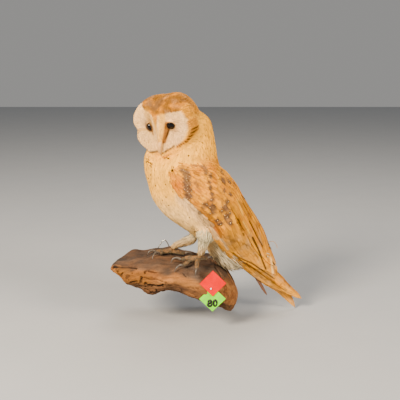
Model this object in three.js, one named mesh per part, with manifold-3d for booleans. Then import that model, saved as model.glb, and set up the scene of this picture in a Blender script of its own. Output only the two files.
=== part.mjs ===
// A taxidermy barn owl, life size, standing on a piece of driftwood that hangs on a wall by a wire loop.
// Millimetres. +X is to the viewer's right, +Y goes into the wall and +Z is up. The origin is in the middle
// of the flat that is sawn on the back of the wood, so that the wall is the plane y = 0.
import * as THREE from 'three';
import { mergeVertices } from 'three/addons/utils/BufferGeometryUtils.js';
import Module from 'manifold-3d';

const wasm = await Module();
wasm.setup();

// Driving dimensions. The owl is drawn in its own frame: x forward, y to its left, z up, with the origin
// on the wood midway between its feet.
const GAP = 0.45;
const STANCE = new THREE.Vector3(9, -71, 33);
const HEADING = THREE.MathUtils.degToRad(198);

const HEAD_CENTRE = new THREE.Vector3(21, 1, 182);
const HEAD_TURN = THREE.MathUtils.degToRad(45);
const HEAD_NOD = THREE.MathUtils.degToRad(14);
const HEAD_TILT = THREE.MathUtils.degToRad(9);
const HEAD_HALF = { depth: 42, width: 43.5, height: 44.5 };
const FACE_DEPTH = 25;
const RIDGE_HEIGHT = 13;
const EYE = { radius: 6.5, side: 16, height: 4, sunk: 4.2 };

const WING_THICK = 8;
const WING_DROOP = 16;
const PAD_RADIUS = 4.2;
const TOE_RADIUS = 3;
const CLAW_RADIUS = 1.5;

const CARD_SIDE = 25.4;
const CARD_THICK = 0.6;
const WIRE_RADIUS = 0.8;
const PIN = { radius: 0.5, headRadius: 1.3, length: 16 };

const colours = {
  cream: { color: 0xe8cfa6, roughness: 0.95, metalness: 0 },
  golden: { color: 0xd9a25c, roughness: 0.95, metalness: 0 },
  white: { color: 0xd8cdbd, roughness: 0.95, metalness: 0 },
  skin: { color: 0x9a8260, roughness: 0.7, metalness: 0 },
  horn: { color: 0x5a4a3a, roughness: 0.35, metalness: 0 },
  bill: { color: 0xd8bfa8, roughness: 0.4, metalness: 0 },
  glass: { color: 0x080606, roughness: 0.05, metalness: 0 },
  wood: { color: 0x9a5f3c, roughness: 0.9, metalness: 0 },
  steel: { color: 0xb8b8b4, roughness: 0.35, metalness: 1 },
  red: { color: 0xf0483c, roughness: 0.6, metalness: 0 },
  green: { color: 0x7ee04a, roughness: 0.6, metalness: 0 },
  pearl: { color: 0xf2efe6, roughness: 0.3, metalness: 0 },
};

const v = (x, y, z) => new THREE.Vector3(x, y, z);
const { lerp, smoothstep } = THREE.MathUtils;

// ---- closed shapes ----

// Leaves only the positions, merges the shared vertices and turns the faces outwards.
function closed(geometry) {
  geometry.deleteAttribute('normal');
  geometry.deleteAttribute('uv');
  const merged = mergeVertices(geometry, 1e-3);
  const position = merged.attributes.position;
  const index = merged.index.array;
  const [a, b, c] = [v(), v(), v()];
  let volume = 0;
  for (let i = 0; i < index.length; i += 3) {
    a.fromBufferAttribute(position, index[i]);
    b.fromBufferAttribute(position, index[i + 1]);
    c.fromBufferAttribute(position, index[i + 2]);
    volume += a.dot(b.cross(c));
  }
  if (volume < 0) {
    for (let i = 0; i < index.length; i += 3) [index[i], index[i + 1]] = [index[i + 1], index[i]];
  }
  return merged;
}

// A sphere whose vertices are moved: place(t, turn) is the point at t, 0 to 1 from pole to pole, and turn,
// 0 to 2 pi round the axis.
function moulded(around, along, place) {
  const geometry = new THREE.SphereGeometry(1, around, along);
  for (let row = 0; row <= along; row++) {
    for (let column = 0; column <= around; column++) {
      const point = place(row / along, ((column % around) / around) * 2 * Math.PI);
      geometry.attributes.position.setXYZ(row * (around + 1) + column, point.x, point.y, point.z);
    }
  }
  return closed(geometry);
}

// The value at t, 0 to 1, of a smooth curve through evenly spaced numbers.
function eased(numbers, t) {
  const at = t * (numbers.length - 1);
  const i = Math.min(Math.floor(at), numbers.length - 2);
  const f = at - i;
  const p1 = numbers[i];
  const p2 = numbers[i + 1];
  const p0 = numbers[i - 1] ?? 2 * p1 - p2;
  const p3 = numbers[i + 2] ?? 2 * p2 - p1;
  const bend = 2 * p0 - 5 * p1 + 4 * p2 - p3 + (3 * p1 - p0 - 3 * p2 + p3) * f;
  return p1 + 0.5 * f * (p2 - p0 + f * bend);
}

// A rounded spindle through stations of { at, deep, wide }. deep is its half size in the plane of the
// bend, and wide its half size along side.
function spindle(stations, { around = 12, along = 10, side = v(0, 1, 0), cap = 0.12 } = {}) {
  const column = (pick) => stations.map(pick);
  const [xs, ys, zs] = ['x', 'y', 'z'].map((axis) => column((s) => s.at[axis]));
  const [deeps, wides] = [column((s) => s.deep), column((s) => s.wide)];
  const centre = (t) => v(eased(xs, t), eased(ys, t), eased(zs, t));
  const dense = (t) => lerp(t, 0.5 - 0.5 * Math.cos(Math.PI * t), 0.75);
  return moulded(around, along, (t, turn) => {
    const s = dense(t);
    const edge = Math.min(s, 1 - s, cap) / cap;
    const round = Math.sqrt(Math.max(0, 1 - (1 - edge) ** 2));
    const tangent = centre(Math.min(1, s + 0.01)).sub(centre(Math.max(0, s - 0.01))).normalize();
    const across = side.clone().addScaledVector(tangent, -side.dot(tangent)).normalize();
    const normal = tangent.clone().cross(across);
    return centre(s)
      .addScaledVector(across, eased(wides, s) * round * Math.cos(turn))
      .addScaledVector(normal, eased(deeps, s) * round * Math.sin(turn));
  });
}

// ---- cutting and joining ----

function solid(geometry) {
  const mesh = new wasm.Mesh({
    numProp: 3,
    vertProperties: new Float32Array(geometry.attributes.position.array),
    triVerts: new Uint32Array(geometry.index.array),
  });
  return new wasm.Manifold(mesh);
}

function shape(manifold) {
  const mesh = manifold.getMesh();
  const geometry = new THREE.BufferGeometry();
  geometry.setAttribute('position', new THREE.BufferAttribute(new Float32Array(mesh.vertProperties), 3));
  geometry.setIndex(new THREE.BufferAttribute(new Uint32Array(mesh.triVerts), 1));
  return geometry;
}

// The same shape, larger all round by gap, as the space that a neighbour leaves free.
function grown(geometry, gap = GAP) {
  const larger = geometry.clone();
  larger.computeVertexNormals();
  const { position, normal } = larger.attributes;
  for (let i = 0; i < position.count; i++) {
    position.setXYZ(
      i,
      position.getX(i) + gap * normal.getX(i),
      position.getY(i) + gap * normal.getY(i),
      position.getZ(i) + gap * normal.getZ(i),
    );
  }
  larger.deleteAttribute('normal');
  return larger;
}

const joined = (...pieces) => shape(pieces.map(solid).reduce((sum, piece) => sum.add(piece)));

// What is left of a shape beside its neighbours, without the crumbs that a cut can leave.
function cut(geometry, ...tools) {
  const spaces = tools.flatMap((tool) => [solid(grown(tool)), solid(tool)]);
  const rest = spaces.reduce((left, space) => left.subtract(space), solid(geometry));
  return shape(rest.decompose().sort((a, b) => b.volume() - a.volume())[0]);
}

// The part of a shape that lies in front of a plane through a point.
function sawn(geometry, point, normal, clearance = GAP / 2) {
  const size = 1000;
  const half = new THREE.BoxGeometry(size, size, size);
  half.translate(0, 0, size / 2 + clearance);
  half.applyQuaternion(new THREE.Quaternion().setFromUnitVectors(v(0, 0, 1), normal.clone().normalize()));
  half.translate(point.x, point.y, point.z);
  return shape(solid(geometry).intersect(solid(closed(half))));
}

// ---- head, in its own frame: x out of the face, y to the owl's left, z up ----

// The heart-shaped rim of the face: its radius about the middle of the face.
function rimRadius(turn) {
  const up = Math.sin(turn);
  const sides = 43 - 5 * Math.abs(up) ** 3;
  const cleft = 18 * Math.exp(-(((turn - Math.PI / 2) / 0.42) ** 2));
  const chin = 2 * Math.exp(-(((turn - 1.5 * Math.PI) / 0.8) ** 2));
  return sides - cleft - chin;
}

// How far forward the face is: two shallow dishes with a ridge between them, widest at the forehead.
function faceDepth(y, z) {
  const low = smoothstep(-z, -20, 26);
  const ridge = lerp(RIDGE_HEIGHT - 3, RIDGE_HEIGHT + 2, low) * Math.exp(-((y / lerp(11, 6, low)) ** 2));
  const rim = 2.5 * smoothstep(Math.abs(y), 24, 38);
  const chin = -8 * smoothstep(-z, 22, 34);
  return FACE_DEPTH + ridge + rim + chin;
}

function headShape() {
  const faceShare = 0.42;
  const rimAngle = Math.acos(FACE_DEPTH / HEAD_HALF.depth);
  const skullRim = HEAD_HALF.height * Math.sin(rimAngle);
  return moulded(26, 16, (t, turn) => {
    const [across, up] = [Math.cos(turn), Math.sin(turn)];
    const rim = rimRadius(turn);
    if (t <= faceShare) {
      const radius = (rim * t) / faceShare;
      return v(faceDepth(radius * across, radius * up), radius * across, radius * up);
    }
    const s = (t - faceShare) / (1 - faceShare);
    const angle = lerp(rimAngle, Math.PI, s);
    const fade = (1 - s) ** 2.2;
    const lift = (rim - skullRim) * fade;
    const rimDepth = faceDepth(rim * across, rim * up);
    return v(
      HEAD_HALF.depth * Math.cos(angle) + (rimDepth - FACE_DEPTH) * fade,
      (HEAD_HALF.width * Math.sin(angle) + lift) * across,
      (HEAD_HALF.height * Math.sin(angle) + lift) * up,
    );
  });
}

// The space in front of the face, which the neck leaves free.
function faceView() {
  const reach = 34;
  return moulded(26, 4, (t, turn) => {
    const radius = rimRadius(turn) * [0, 1, 1.03, 1.05, 0][Math.round(4 * t)];
    const depth = [FACE_DEPTH - 3, FACE_DEPTH - 3, FACE_DEPTH + 10, reach, reach][Math.round(4 * t)];
    return v(depth, radius * Math.cos(turn), radius * Math.sin(turn));
  });
}

function eyeShape(side) {
  const eye = closed(new THREE.SphereGeometry(EYE.radius, 12, 8));
  const y = side * EYE.side;
  return eye.translate(faceDepth(y, EYE.height) - EYE.sunk, y, EYE.height);
}

const station = (x, y, z, deep, wide = deep) => ({ at: v(x, y, z), deep, wide });

const billUpper = spindle(
  [
    station(30, 0, -14, 5, 4.5),
    station(36.5, 0, -19, 4.8, 3.6),
    station(40, 0, -26, 3, 2.3),
    station(38, 0, -33, 0.8, 0.7),
  ],
  { around: 10, along: 8 },
);
const billLower = spindle(
  [station(27, 0, -20, 4, 3.6), station(32, 0, -25, 3, 3), station(35.5, 0, -29.5, 1.2, 1.4)],
  { around: 8, along: 5 },
);

// ---- neck, trunk and tail ----

// Ribs from the head down to the tail: x and z of the front and of the back, and half the width.
const bodyRibs = [
  [6, 200, -22, 197, 18], [26, 180, -35, 180, 31], [38, 161, -42, 164, 38], [55, 141, -45, 147, 44],
  [57, 120, -48, 129, 47.5], [52, 98, -55, 112, 49.5], [46, 77, -67, 97, 50], [31, 56, -80, 78, 48],
  [10, 39, -92, 55, 44], [-14, 21, -104, 37, 38], [-38, -6, -115, 19, 31], [-58, -28, -122, 1, 24],
  [-88, -30, -125, -15, 14],
];

// A body that runs through ribs, rounded at both ends.
function ribbed(ribs, { around, along, cap = 0.08 }) {
  const pick = (column, t) => eased(ribs.map((rib) => rib[column]), t);
  return moulded(around, along, (t, turn) => {
    const s = lerp(t, 0.5 - 0.5 * Math.cos(Math.PI * t), 0.5);
    const round = Math.sqrt(1 - (1 - Math.min(s, 1 - s, cap) / cap) ** 2);
    const [frontX, frontZ, backX, backZ, wide] = [0, 1, 2, 3, 4].map((column) => pick(column, s));
    const share = 0.5 + 0.5 * Math.cos(turn) * round;
    return v(lerp(backX, frontX, share), wide * round * Math.sin(turn), lerp(backZ, frontZ, share));
  });
}

const neckPlane = { point: v(0, 0, 134), normal: v(0.08, 0, 1) };
const tailPlane = { point: v(-101, 0, -15), normal: v(0.62, 0, 0.78) };

const tailStations = [
  station(-90, 0, -4, 13, 15),
  station(-110, 0, -29, 8, 17),
  station(-127, 0, -48, 5, 16),
  station(-145, 0, -67, 2, 11),
];
const looseFeatherStations = [
  station(-98, 8, -14, 1.4, 3),
  station(-101, 9.5, -36, 1.1, 3.2),
  station(-110, 10, -54, 1, 3),
  station(-120, 10, -71, 0.6, 1),
];

// ---- wings ----

// The lower (leading) and upper edges of the folded left wing, at even steps from the bend to the tip.
const leadingEdge = [
  [34, 38, 122], [29, 42, 102], [16.5, 47, 85], [-0.5, 48.5, 69], [-17.5, 45, 50], [-32, 38, 27],
  [-50, 29, 6], [-76, 24, -16], [-104, 17, -38], [-137, 9, -62], [-176, 4, -85],
];
const upperEdge = [
  [22, 42, 134], [-24, 36, 132], [-50, 22, 116], [-70, 12, 96], [-88, 7, 66], [-104, 5, 42],
  [-116, 4, 21], [-126, 3, -5], [-138, 3, -29], [-157, 2, -52], [-181, 2, -83],
];
const wingBulge = [4, 14, 21, 24, 25, 23, 19, 12, 7, 3, 0];

function wingShape(side, droop) {
  const edge = (points, t) => v(...[0, 1, 2].map((axis) => eased(points.map((p) => p[axis]), t)));
  const outward = v(-0.2, 1, 0).normalize();
  return moulded(12, 18, (t, turn) => {
    const s = lerp(t, 0.5 - 0.5 * Math.cos(Math.PI * t), 0.4);
    const end = Math.sqrt(Math.max(0, 1 - (1 - Math.min(1, s / 0.06, (1 - s) / 0.04)) ** 2));
    const across = 0.5 - 0.5 * Math.cos(turn) * end;
    const thick = WING_THICK * lerp(1, 0.3, s) * 0.5 * Math.sin(turn) * end;
    const point = edge(leadingEdge, s).lerp(edge(upperEdge, s), across);
    point.addScaledVector(outward, 4 * across * (1 - across) * eased(wingBulge, s) + thick);
    point.z -= droop * s ** 14;
    point.x += 0.4 * droop * s ** 14;
    point.y *= side;
    return point;
  });
}

const wristPlane = { point: v(-92, 0, 0), normal: v(0.8, 0, 0.6) };

// ---- legs ----

// Each leg's way from the belly to the ankle, and each toe's joints and claw.
const legs = {
  left: {
    side: 1,
    thigh: [station(-30, 20, 52, 17), station(-23, 26, 36, 16, 15), station(-19, 26, 18, 9.5)],
    tarsus: [station(-19, 26, 22, 8), station(-17.5, 25, 11, 6.3), station(-13.5, 22.5, -1, 4.2)],
    ankle: [-13, 22, -3],
    toes: [
      { bone: [[-2.7, 20.5, -5], [11.3, 26.5, -10]], claw: [[18, 29, -9.5], [24.3, 29.3, -18]] },
      { bone: [[0, 17, -2.5], [10, 15.5, -5]], claw: [[18.5, 11.7, -2.5], [24.3, 12.5, -10]] },
      { bone: [[-7, 33, -7], [-4.5, 40, -12]], claw: [[-1.7, 45, -14.5], [-0.5, 45.5, -22]] },
      { bone: [[-21, 16, -5], [-28, 13, -7]], claw: [[-35, 11, -6.5], [-38, 10.5, -12.5]] },
    ],
  },
  right: {
    side: -1,
    thigh: [station(-34, -18, 48, 17), station(-28, -22, 32, 16, 15), station(-22, -21, 14, 9.5)],
    tarsus: [
      station(-24, -21, 15, 8),
      station(-9, -24, 9, 7),
      station(4, -26, 4.5, 5.2),
      station(12, -25.5, -0.5, 4),
    ],
    ankle: [12.8, -25, -3],
    toes: [
      { bone: [[22, -25.5, -4], [30, -22, -4.5]], claw: [[38.5, -17.5, -2], [44, -12, -10]] },
      { bone: [[23, -33, -4], [32, -36.5, -5.5]], claw: [[40, -37, -4], [45, -36.5, -12]] },
      { bone: [[8, -37, -5], [4, -45, -6.5]], claw: [[1.5, -52, -5], [2, -56, -12]] },
      { bone: [[3, -21, -5], [-6, -19, -7]], claw: [[-13, -18, -6], [-17, -17.5, -12]] },
    ],
  },
};

// A level direction square to the way from one point to another.
const level = (from, to) => v(...to).sub(v(...from)).cross(v(0, 0, 1)).normalize();

function toeShape(ankle, bone) {
  const [first, second] = bone;
  const middle = v(...first).lerp(v(...second), 0.5);
  return spindle(
    [
      { at: v(...ankle), deep: TOE_RADIUS * 1.15, wide: TOE_RADIUS * 1.25 },
      { at: v(...first), deep: TOE_RADIUS * 0.95, wide: TOE_RADIUS },
      { at: middle, deep: TOE_RADIUS * 0.85, wide: TOE_RADIUS * 0.9 },
      { at: v(...second), deep: TOE_RADIUS * 0.8, wide: TOE_RADIUS * 0.85 },
    ],
    { around: 6, along: 6, side: level(ankle, second), cap: 0.16 },
  );
}

// A claw starts inside the toe's end and curves to its point.
function clawShape(bone, claw) {
  const root = v(...bone[1]);
  const [bend, tip] = claw.map((point) => v(...point));
  const arch = v(0, 0, 0.9);
  return spindle(
    [
      { at: root, deep: CLAW_RADIUS * 1.15, wide: CLAW_RADIUS },
      { at: root.clone().lerp(bend, 0.6).add(arch), deep: CLAW_RADIUS, wide: CLAW_RADIUS * 0.8 },
      { at: bend.clone().lerp(tip, 0.35).add(arch), deep: CLAW_RADIUS * 0.75, wide: CLAW_RADIUS * 0.6 },
      { at: tip, deep: CLAW_RADIUS * 0.25, wide: CLAW_RADIUS * 0.25 },
    ],
    { around: 6, along: 6, side: level(bone[1], claw[1]), cap: 0.1 },
  );
}

// ---- driftwood, in the wall's frame ----

// At each x along the wood: y of its front and back, and z of its underside and top. What lies behind
// the wall is sawn off.
const woodStations = [
  [-96, -64, -52, 2, 8], [-88, -78, -32, -8, 13], [-73, -88, 8, -18, 18], [-54, -94, 14, -23, 21],
  [-34, -98, 14, -29, 24], [-12, -104, 14, -23, 24.5], [10, -112, 14, -26, 21], [30, -115, 14, -35, 17],
  [50, -112, 12, -45, 12], [65, -104, 8, -52, 4], [79, -86, -6, -56, -17], [89.5, -60, -34, -46, -33],
];

function woodShape() {
  const pick = (column, t) => eased(woodStations.map((s) => s[column]), t);
  return moulded(22, 22, (t, turn) => {
    const end = Math.sqrt(Math.max(0, 1 - (1 - Math.min(1, t / 0.05, (1 - t) / 0.06)) ** 2));
    const [front, back, bottom, top] = [1, 2, 3, 4].map((column) => pick(column, t));
    const [c, s] = [Math.cos(turn), Math.sin(turn)];
    const under = s < 0 ? lerp(1, 0.72, -s) : 1;
    const y = Math.sign(c) * Math.abs(c) ** 0.6 * under * end;
    const z = Math.sign(s) * Math.abs(s) ** 0.7 * end;
    const x = pick(0, t);
    const gnarl = 1.3 * Math.sin(0.11 * x + 3 * turn) + 0.9 * Math.sin(0.23 * x - 2 * turn);
    const furrow = 1.1 * Math.sin(9 * turn + 0.03 * x) * smoothstep(-s, -0.7, 0.3);
    const rough = (gnarl + furrow) * end;
    return v(
      x,
      lerp(front, back, 0.5 + 0.5 * y) + rough * c,
      lerp(bottom, top, 0.5 + 0.5 * z) + rough * s,
    );
  });
}

// ---- hanger, cards and pin ----

// The loop of wire at the back, over which the wood hangs on a nail.
function hangerShape() {
  const y = -3;
  const path = new THREE.CatmullRomCurve3([
    v(-33, y, 14), v(-32, y, 20), v(-27.5, y, 28), v(-23.5, y, 32.4), v(-20.5, y, 32.4), v(-17.5, y, 28),
    v(-14, y, 20), v(-13, y, 14),
  ]);
  const section = new THREE.Shape();
  section.absarc(0, 0, WIRE_RADIUS, 0, 2 * Math.PI);
  return closed(new THREE.ExtrudeGeometry(section, { extrudePath: path, steps: 18, curveSegments: 3 }));
}

const card = () => closed(new THREE.BoxGeometry(CARD_SIDE, CARD_THICK, CARD_SIDE));

function pinShape() {
  const profile = [
    [0, -PIN.length], [PIN.radius, -PIN.length + 1.5], [PIN.radius, 0], [PIN.headRadius, 0],
    [PIN.headRadius, 0.7], [PIN.headRadius * 0.6, 1.2], [0, 1.3],
  ];
  return closed(new THREE.LatheGeometry(profile.map(([x, y]) => new THREE.Vector2(x, y)), 8));
}

// ---- assembly ----

const owl = new THREE.Group();
owl.name = 'owl';
owl.position.copy(STANCE);
owl.rotation.z = HEADING;

const head = new THREE.Group();
head.position.copy(HEAD_CENTRE);
head.rotation.set(HEAD_TILT, HEAD_NOD, HEAD_TURN, 'ZYX');
owl.add(head);

const barnOwl = new THREE.Group();
barnOwl.name = 'taxidermy_barn_owl';
barnOwl.add(owl);
barnOwl.updateMatrixWorld(true);

function add(group, name, geometry, finish) {
  const mesh = new THREE.Mesh(geometry, new THREE.MeshStandardMaterial(colours[finish]));
  mesh.name = name;
  group.add(mesh);
  return mesh;
}

// The head and what is set in it.
const [eyeLeft, eyeRight] = [eyeShape(1), eyeShape(-1)];
const lowerBill = cut(billLower, billUpper);
const skull = cut(headShape(), eyeLeft, eyeRight, billUpper, billLower);
add(head, 'head', skull, 'golden');
add(head, 'eye_left', eyeLeft, 'glass');
add(head, 'eye_right', eyeRight, 'glass');
add(head, 'bill_upper', billUpper, 'bill');
add(head, 'bill_lower', lowerBill, 'bill');
const placed = (piece, group) => piece.clone().applyMatrix4(group.matrix);
const headSpace = [headShape(), faceView(), billUpper, billLower].map((piece) => placed(piece, head));

// The body gives way to the wings, and the right wing to the left one.
const wings = { left: wingShape(1, 0), right: wingShape(-1, WING_DROOP) };
const wingRight = cut(wings.right, wings.left);
for (const [name, wing] of [['left', wings.left], ['right', wingRight]]) {
  const behind = wristPlane.normal.clone().negate();
  add(owl, `wing_${name}`, sawn(wing, wristPlane.point, wristPlane.normal), 'golden');
  add(owl, `primaries_${name}`, sawn(wing, wristPlane.point, behind), 'golden');
}

// The thigh gives way to the body, the tarsus to the thigh and the foot, and the claws to the foot.
const body = ribbed(bodyRibs, { around: 20, along: 16 });
const feet = [];
for (const [name, leg] of Object.entries(legs)) {
  const thigh = spindle(leg.thigh, { around: 10, along: 6, cap: 0.25 });
  const tarsus = spindle(leg.tarsus, { around: 8, along: 8, cap: 0.15 });
  const pad = closed(new THREE.SphereGeometry(PAD_RADIUS, 8, 6)).translate(...leg.ankle);
  const foot = joined(pad, ...leg.toes.map((toe) => toeShape(leg.ankle, toe.bone)));
  const claws = leg.toes.map((toe) => cut(clawShape(toe.bone, toe.claw), foot));
  add(owl, `thigh_${name}`, cut(thigh, body, wings.left, wings.right), 'white');
  add(owl, `tarsus_${name}`, cut(tarsus, body, thigh, foot), 'white');
  add(owl, `foot_${name}`, foot, 'skin');
  claws.forEach((claw, i) => add(owl, `claw_${name}_${i + 1}`, claw, 'horn'));
  feet.push(foot, ...claws, tarsus);
}

// The body, parted into neck, trunk and tail, and the feather that hangs loose beside the tail.
const bodyFree = cut(body, ...headSpace, wings.left, wings.right);
add(owl, 'neck', sawn(bodyFree, neckPlane.point, neckPlane.normal), 'cream');
const belowNeck = sawn(body, neckPlane.point, neckPlane.normal.clone().negate());
const trunkBlock = sawn(belowNeck, tailPlane.point, tailPlane.normal);
const trunk = cut(trunkBlock, ...headSpace, wings.left, wings.right, ...feet);
add(owl, 'trunk', trunk, 'cream');
const fan = spindle(tailStations, { around: 14, along: 8, cap: 0.08 });
const fanBehind = sawn(fan, tailPlane.point, tailPlane.normal.clone().negate());
const tail = cut(fanBehind, trunk, wings.left, wings.right);
add(owl, 'tail', tail, 'cream');
const looseFeather = spindle(looseFeatherStations, { around: 8, along: 8, side: v(0.8, 0, 0.2) });
add(owl, 'loose_feather', cut(looseFeather, body, tail, wings.left, wings.right), 'cream');

// The wood, its hanger and the two cards that a pin holds on its front.
const hanger = hangerShape();
const redCard = new THREE.Mesh(card());
redCard.position.set(47.3, -114.6, 2);
redCard.rotation.set(0, Math.PI / 4, 0.07, 'ZYX');
const greenCard = new THREE.Mesh(card());
greenCard.position.set(46.8, -113.2, -20);
greenCard.rotation.set(0.03, Math.PI / 4, 0.04, 'ZYX');
const pin = pinShape().rotateX(Math.PI).translate(44.7, -115.1, -5);
for (const piece of [redCard, greenCard]) {
  piece.updateMatrix();
  piece.geometry.applyMatrix4(piece.matrix);
}
const footSpace = feet.map((piece) => placed(piece, owl));
const block = sawn(woodShape(), v(0, 0, 0), v(0, -1, 0), 0);
const wood = cut(block, ...footSpace, hanger, redCard.geometry, greenCard.geometry, pin);
add(barnOwl, 'wood_perch', wood, 'wood');
add(barnOwl, 'hanger_wire', hanger, 'steel');
add(barnOwl, 'tag_red', cut(redCard.geometry, pin), 'red');
add(barnOwl, 'tag_green', cut(greenCard.geometry, redCard.geometry, pin), 'green');
add(barnOwl, 'tag_pin', pin, 'pearl');

export default barnOwl;
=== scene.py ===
"""Dresses a taxidermy barn owl that stands on driftwood: skin, plumage, eyes, bill, feet, claws, wood,
hanger, cards and stage. Shapes are worked out in millimetres, in the owl's own frame (x forward, y to its
left, z up, origin on the wood midway between its feet), and go into Blender in metres, in the row's frame.
"""

import functools
import math

import bpy
import numpy as np
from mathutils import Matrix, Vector
from mathutils.bvhtree import BVHTree


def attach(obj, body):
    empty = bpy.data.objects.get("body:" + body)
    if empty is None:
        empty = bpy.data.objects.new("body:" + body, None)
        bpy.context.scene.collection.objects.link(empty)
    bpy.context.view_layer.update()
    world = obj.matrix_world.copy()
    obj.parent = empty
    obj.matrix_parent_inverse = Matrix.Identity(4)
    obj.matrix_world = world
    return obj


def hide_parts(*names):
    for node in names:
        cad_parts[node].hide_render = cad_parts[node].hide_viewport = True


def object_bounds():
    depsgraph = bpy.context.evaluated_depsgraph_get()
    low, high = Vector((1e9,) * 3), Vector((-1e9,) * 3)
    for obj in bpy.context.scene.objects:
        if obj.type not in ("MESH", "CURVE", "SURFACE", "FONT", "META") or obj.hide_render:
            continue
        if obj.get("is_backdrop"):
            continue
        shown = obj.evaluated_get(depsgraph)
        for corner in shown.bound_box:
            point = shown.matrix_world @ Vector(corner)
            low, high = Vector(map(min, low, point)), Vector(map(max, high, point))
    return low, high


bl_info = {
    "name": "Taxidermy barn owl on driftwood",
    "version": (1, 0, 0),
    "blender": (4, 5, 0),
    "location": "3D View > Sidebar > Owl",
    "description": "Builds the skin, plumage, feet, driftwood, hanger and cards of a mounted barn owl",
    "category": "Add Mesh",
}

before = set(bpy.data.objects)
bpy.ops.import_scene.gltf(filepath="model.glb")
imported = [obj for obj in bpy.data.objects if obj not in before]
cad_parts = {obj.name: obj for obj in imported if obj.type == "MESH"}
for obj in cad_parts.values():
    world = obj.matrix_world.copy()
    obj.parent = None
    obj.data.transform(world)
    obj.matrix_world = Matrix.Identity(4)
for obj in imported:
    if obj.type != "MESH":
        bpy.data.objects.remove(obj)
CAD_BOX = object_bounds()

# ---- sizes shared with the solids, in millimetres ----

STANCE = np.array([9.0, -71.0, 33.0])
HEADING = 198
HEAD_CENTRE = np.array([21.0, 1.0, 182.0])
HEAD_TURN, HEAD_NOD, HEAD_TILT = 45, 14, 9
HEAD_DEEP, HEAD_WIDE, HEAD_HIGH = 42, 43.5, 44.5
FACE_DEPTH = 25
FACE_SHARE = 0.42
RIDGE_HEIGHT = 13
EYE_RADIUS, EYE_SIDE, EYE_HEIGHT, EYE_SUNK = 6.5, 16, 4, 4.2
WING_THICK, WING_DROOP = 8, 16
OUTWARD = np.array([-0.2, 1, 0]) / math.hypot(0.2, 1)

# Ribs from the head down to the tail: x and z of the front and of the back, and half the width.
BODY_RIBS = [
    [6, 200, -28, 199, 22], [26, 180, -38, 182, 33], [38, 161, -42, 164, 38], [55, 141, -45, 147, 44],
    [57, 120, -48, 129, 47.5], [52, 98, -55, 112, 49.5], [46, 77, -67, 97, 50], [31, 56, -80, 78, 48],
    [10, 39, -92, 55, 44], [-14, 21, -104, 37, 38], [-38, -6, -115, 19, 31], [-58, -28, -122, 1, 24],
    [-88, -30, -125, -15, 14],
]
LEADING_EDGE = [
    [34, 38, 122], [29, 42, 102], [16.5, 47, 85], [-0.5, 48.5, 69], [-17.5, 45, 50], [-32, 38, 27],
    [-50, 29, 6], [-76, 24, -16], [-104, 17, -38], [-137, 9, -62], [-176, 4, -85],
]
UPPER_EDGE = [
    [22, 42, 134], [-24, 36, 132], [-50, 22, 116], [-70, 12, 96], [-88, 7, 66], [-104, 5, 42],
    [-116, 4, 21], [-126, 3, -5], [-138, 3, -29], [-157, 2, -52], [-181, 2, -83],
]
WING_BULGE = [4, 14, 21, 24, 25, 23, 19, 12, 7, 3, 0]

# Stations of x, y, z and the half size in and across the plane of the bend.
TAIL = [[-90, 0, -4, 13, 15], [-110, 0, -29, 8, 17], [-127, 0, -48, 5, 16], [-145, 0, -67, 2, 11]]
LEGS = {
    "left": {
        "thigh": [[-30, 20, 52, 17, 17], [-23, 26, 36, 16, 15], [-19, 26, 18, 9.5, 9.5]],
        "tarsus": [[-19, 26, 22, 8, 8], [-17.5, 25, 11, 6.3, 6.3], [-13.5, 22.5, -1, 4.2, 4.2]],
        "ankle": [-13, 22, -3],
        "toes": [
            ([-2.7, 20.5, -5], [11.3, 26.5, -10], [18, 29, -9.5], [24.3, 29.3, -18]),
            ([0, 17, -2.5], [10, 15.5, -5], [18.5, 11.7, -2.5], [24.3, 12.5, -10]),
            ([-7, 33, -7], [-4.5, 40, -12], [-1.7, 45, -14.5], [-0.5, 45.5, -22]),
            ([-21, 16, -5], [-28, 13, -7], [-35, 11, -6.5], [-38, 10.5, -12.5]),
        ],
    },
    "right": {
        "thigh": [[-34, -18, 48, 17, 17], [-28, -22, 32, 16, 15], [-22, -21, 14, 9.5, 9.5]],
        "tarsus": [
            [-24, -21, 15, 8, 8], [-9, -24, 9, 7, 7], [4, -26, 4.5, 5.2, 5.2], [12, -25.5, -0.5, 4, 4],
        ],
        "ankle": [12.8, -25, -3],
        "toes": [
            ([22, -25.5, -4], [30, -22, -4.5], [38.5, -17.5, -2], [44, -12, -10]),
            ([23, -33, -4], [32, -36.5, -5.5], [40, -37, -4], [45, -36.5, -12]),
            ([8, -37, -5], [4, -45, -6.5], [1.5, -52, -5], [2, -56, -12]),
            ([3, -21, -5], [-6, -19, -7], [-13, -18, -6], [-17, -17.5, -12]),
        ],
    },
}
BILL_UPPER = [[30, 0, -14, 5, 4.5], [36.5, 0, -19, 4.8, 3.6], [40, 0, -26, 3, 2.3], [38, 0, -33, 0.8, 0.7]]
BILL_LOWER = [[27, 0, -20, 4, 3.6], [32, 0, -25, 3, 3], [35.5, 0, -29.5, 1.2, 1.4]]
TOE_RADIUS, CLAW_RADIUS, PAD_RADIUS = 3, 1.5, 4.2

# The driftwood, in the row's frame: at each x, y of its front and back, and z of its underside and top.
WOOD = [
    [-96, -64, -52, 2, 8], [-88, -78, -32, -8, 13], [-73, -88, 8, -18, 18], [-54, -94, 14, -23, 21],
    [-34, -98, 14, -29, 24], [-12, -104, 14, -23, 24.5], [10, -112, 14, -26, 21], [30, -115, 14, -35, 17],
    [50, -112, 12, -43, 13], [63, -104, 8, -48, 6], [75, -88, -6, -51, -13], [84.5, -62, -34, -42, -28],
]
HANGER = [
    [-33, -3, 14], [-32, -3, 20], [-27.5, -3, 28], [-23.5, -3, 32.4], [-20.5, -3, 32.4], [-17.5, -3, 28],
    [-14, -3, 20], [-13, -3, 14],
]
WIRE_RADIUS = 0.8

# ---- arithmetic on arrays ----


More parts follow.
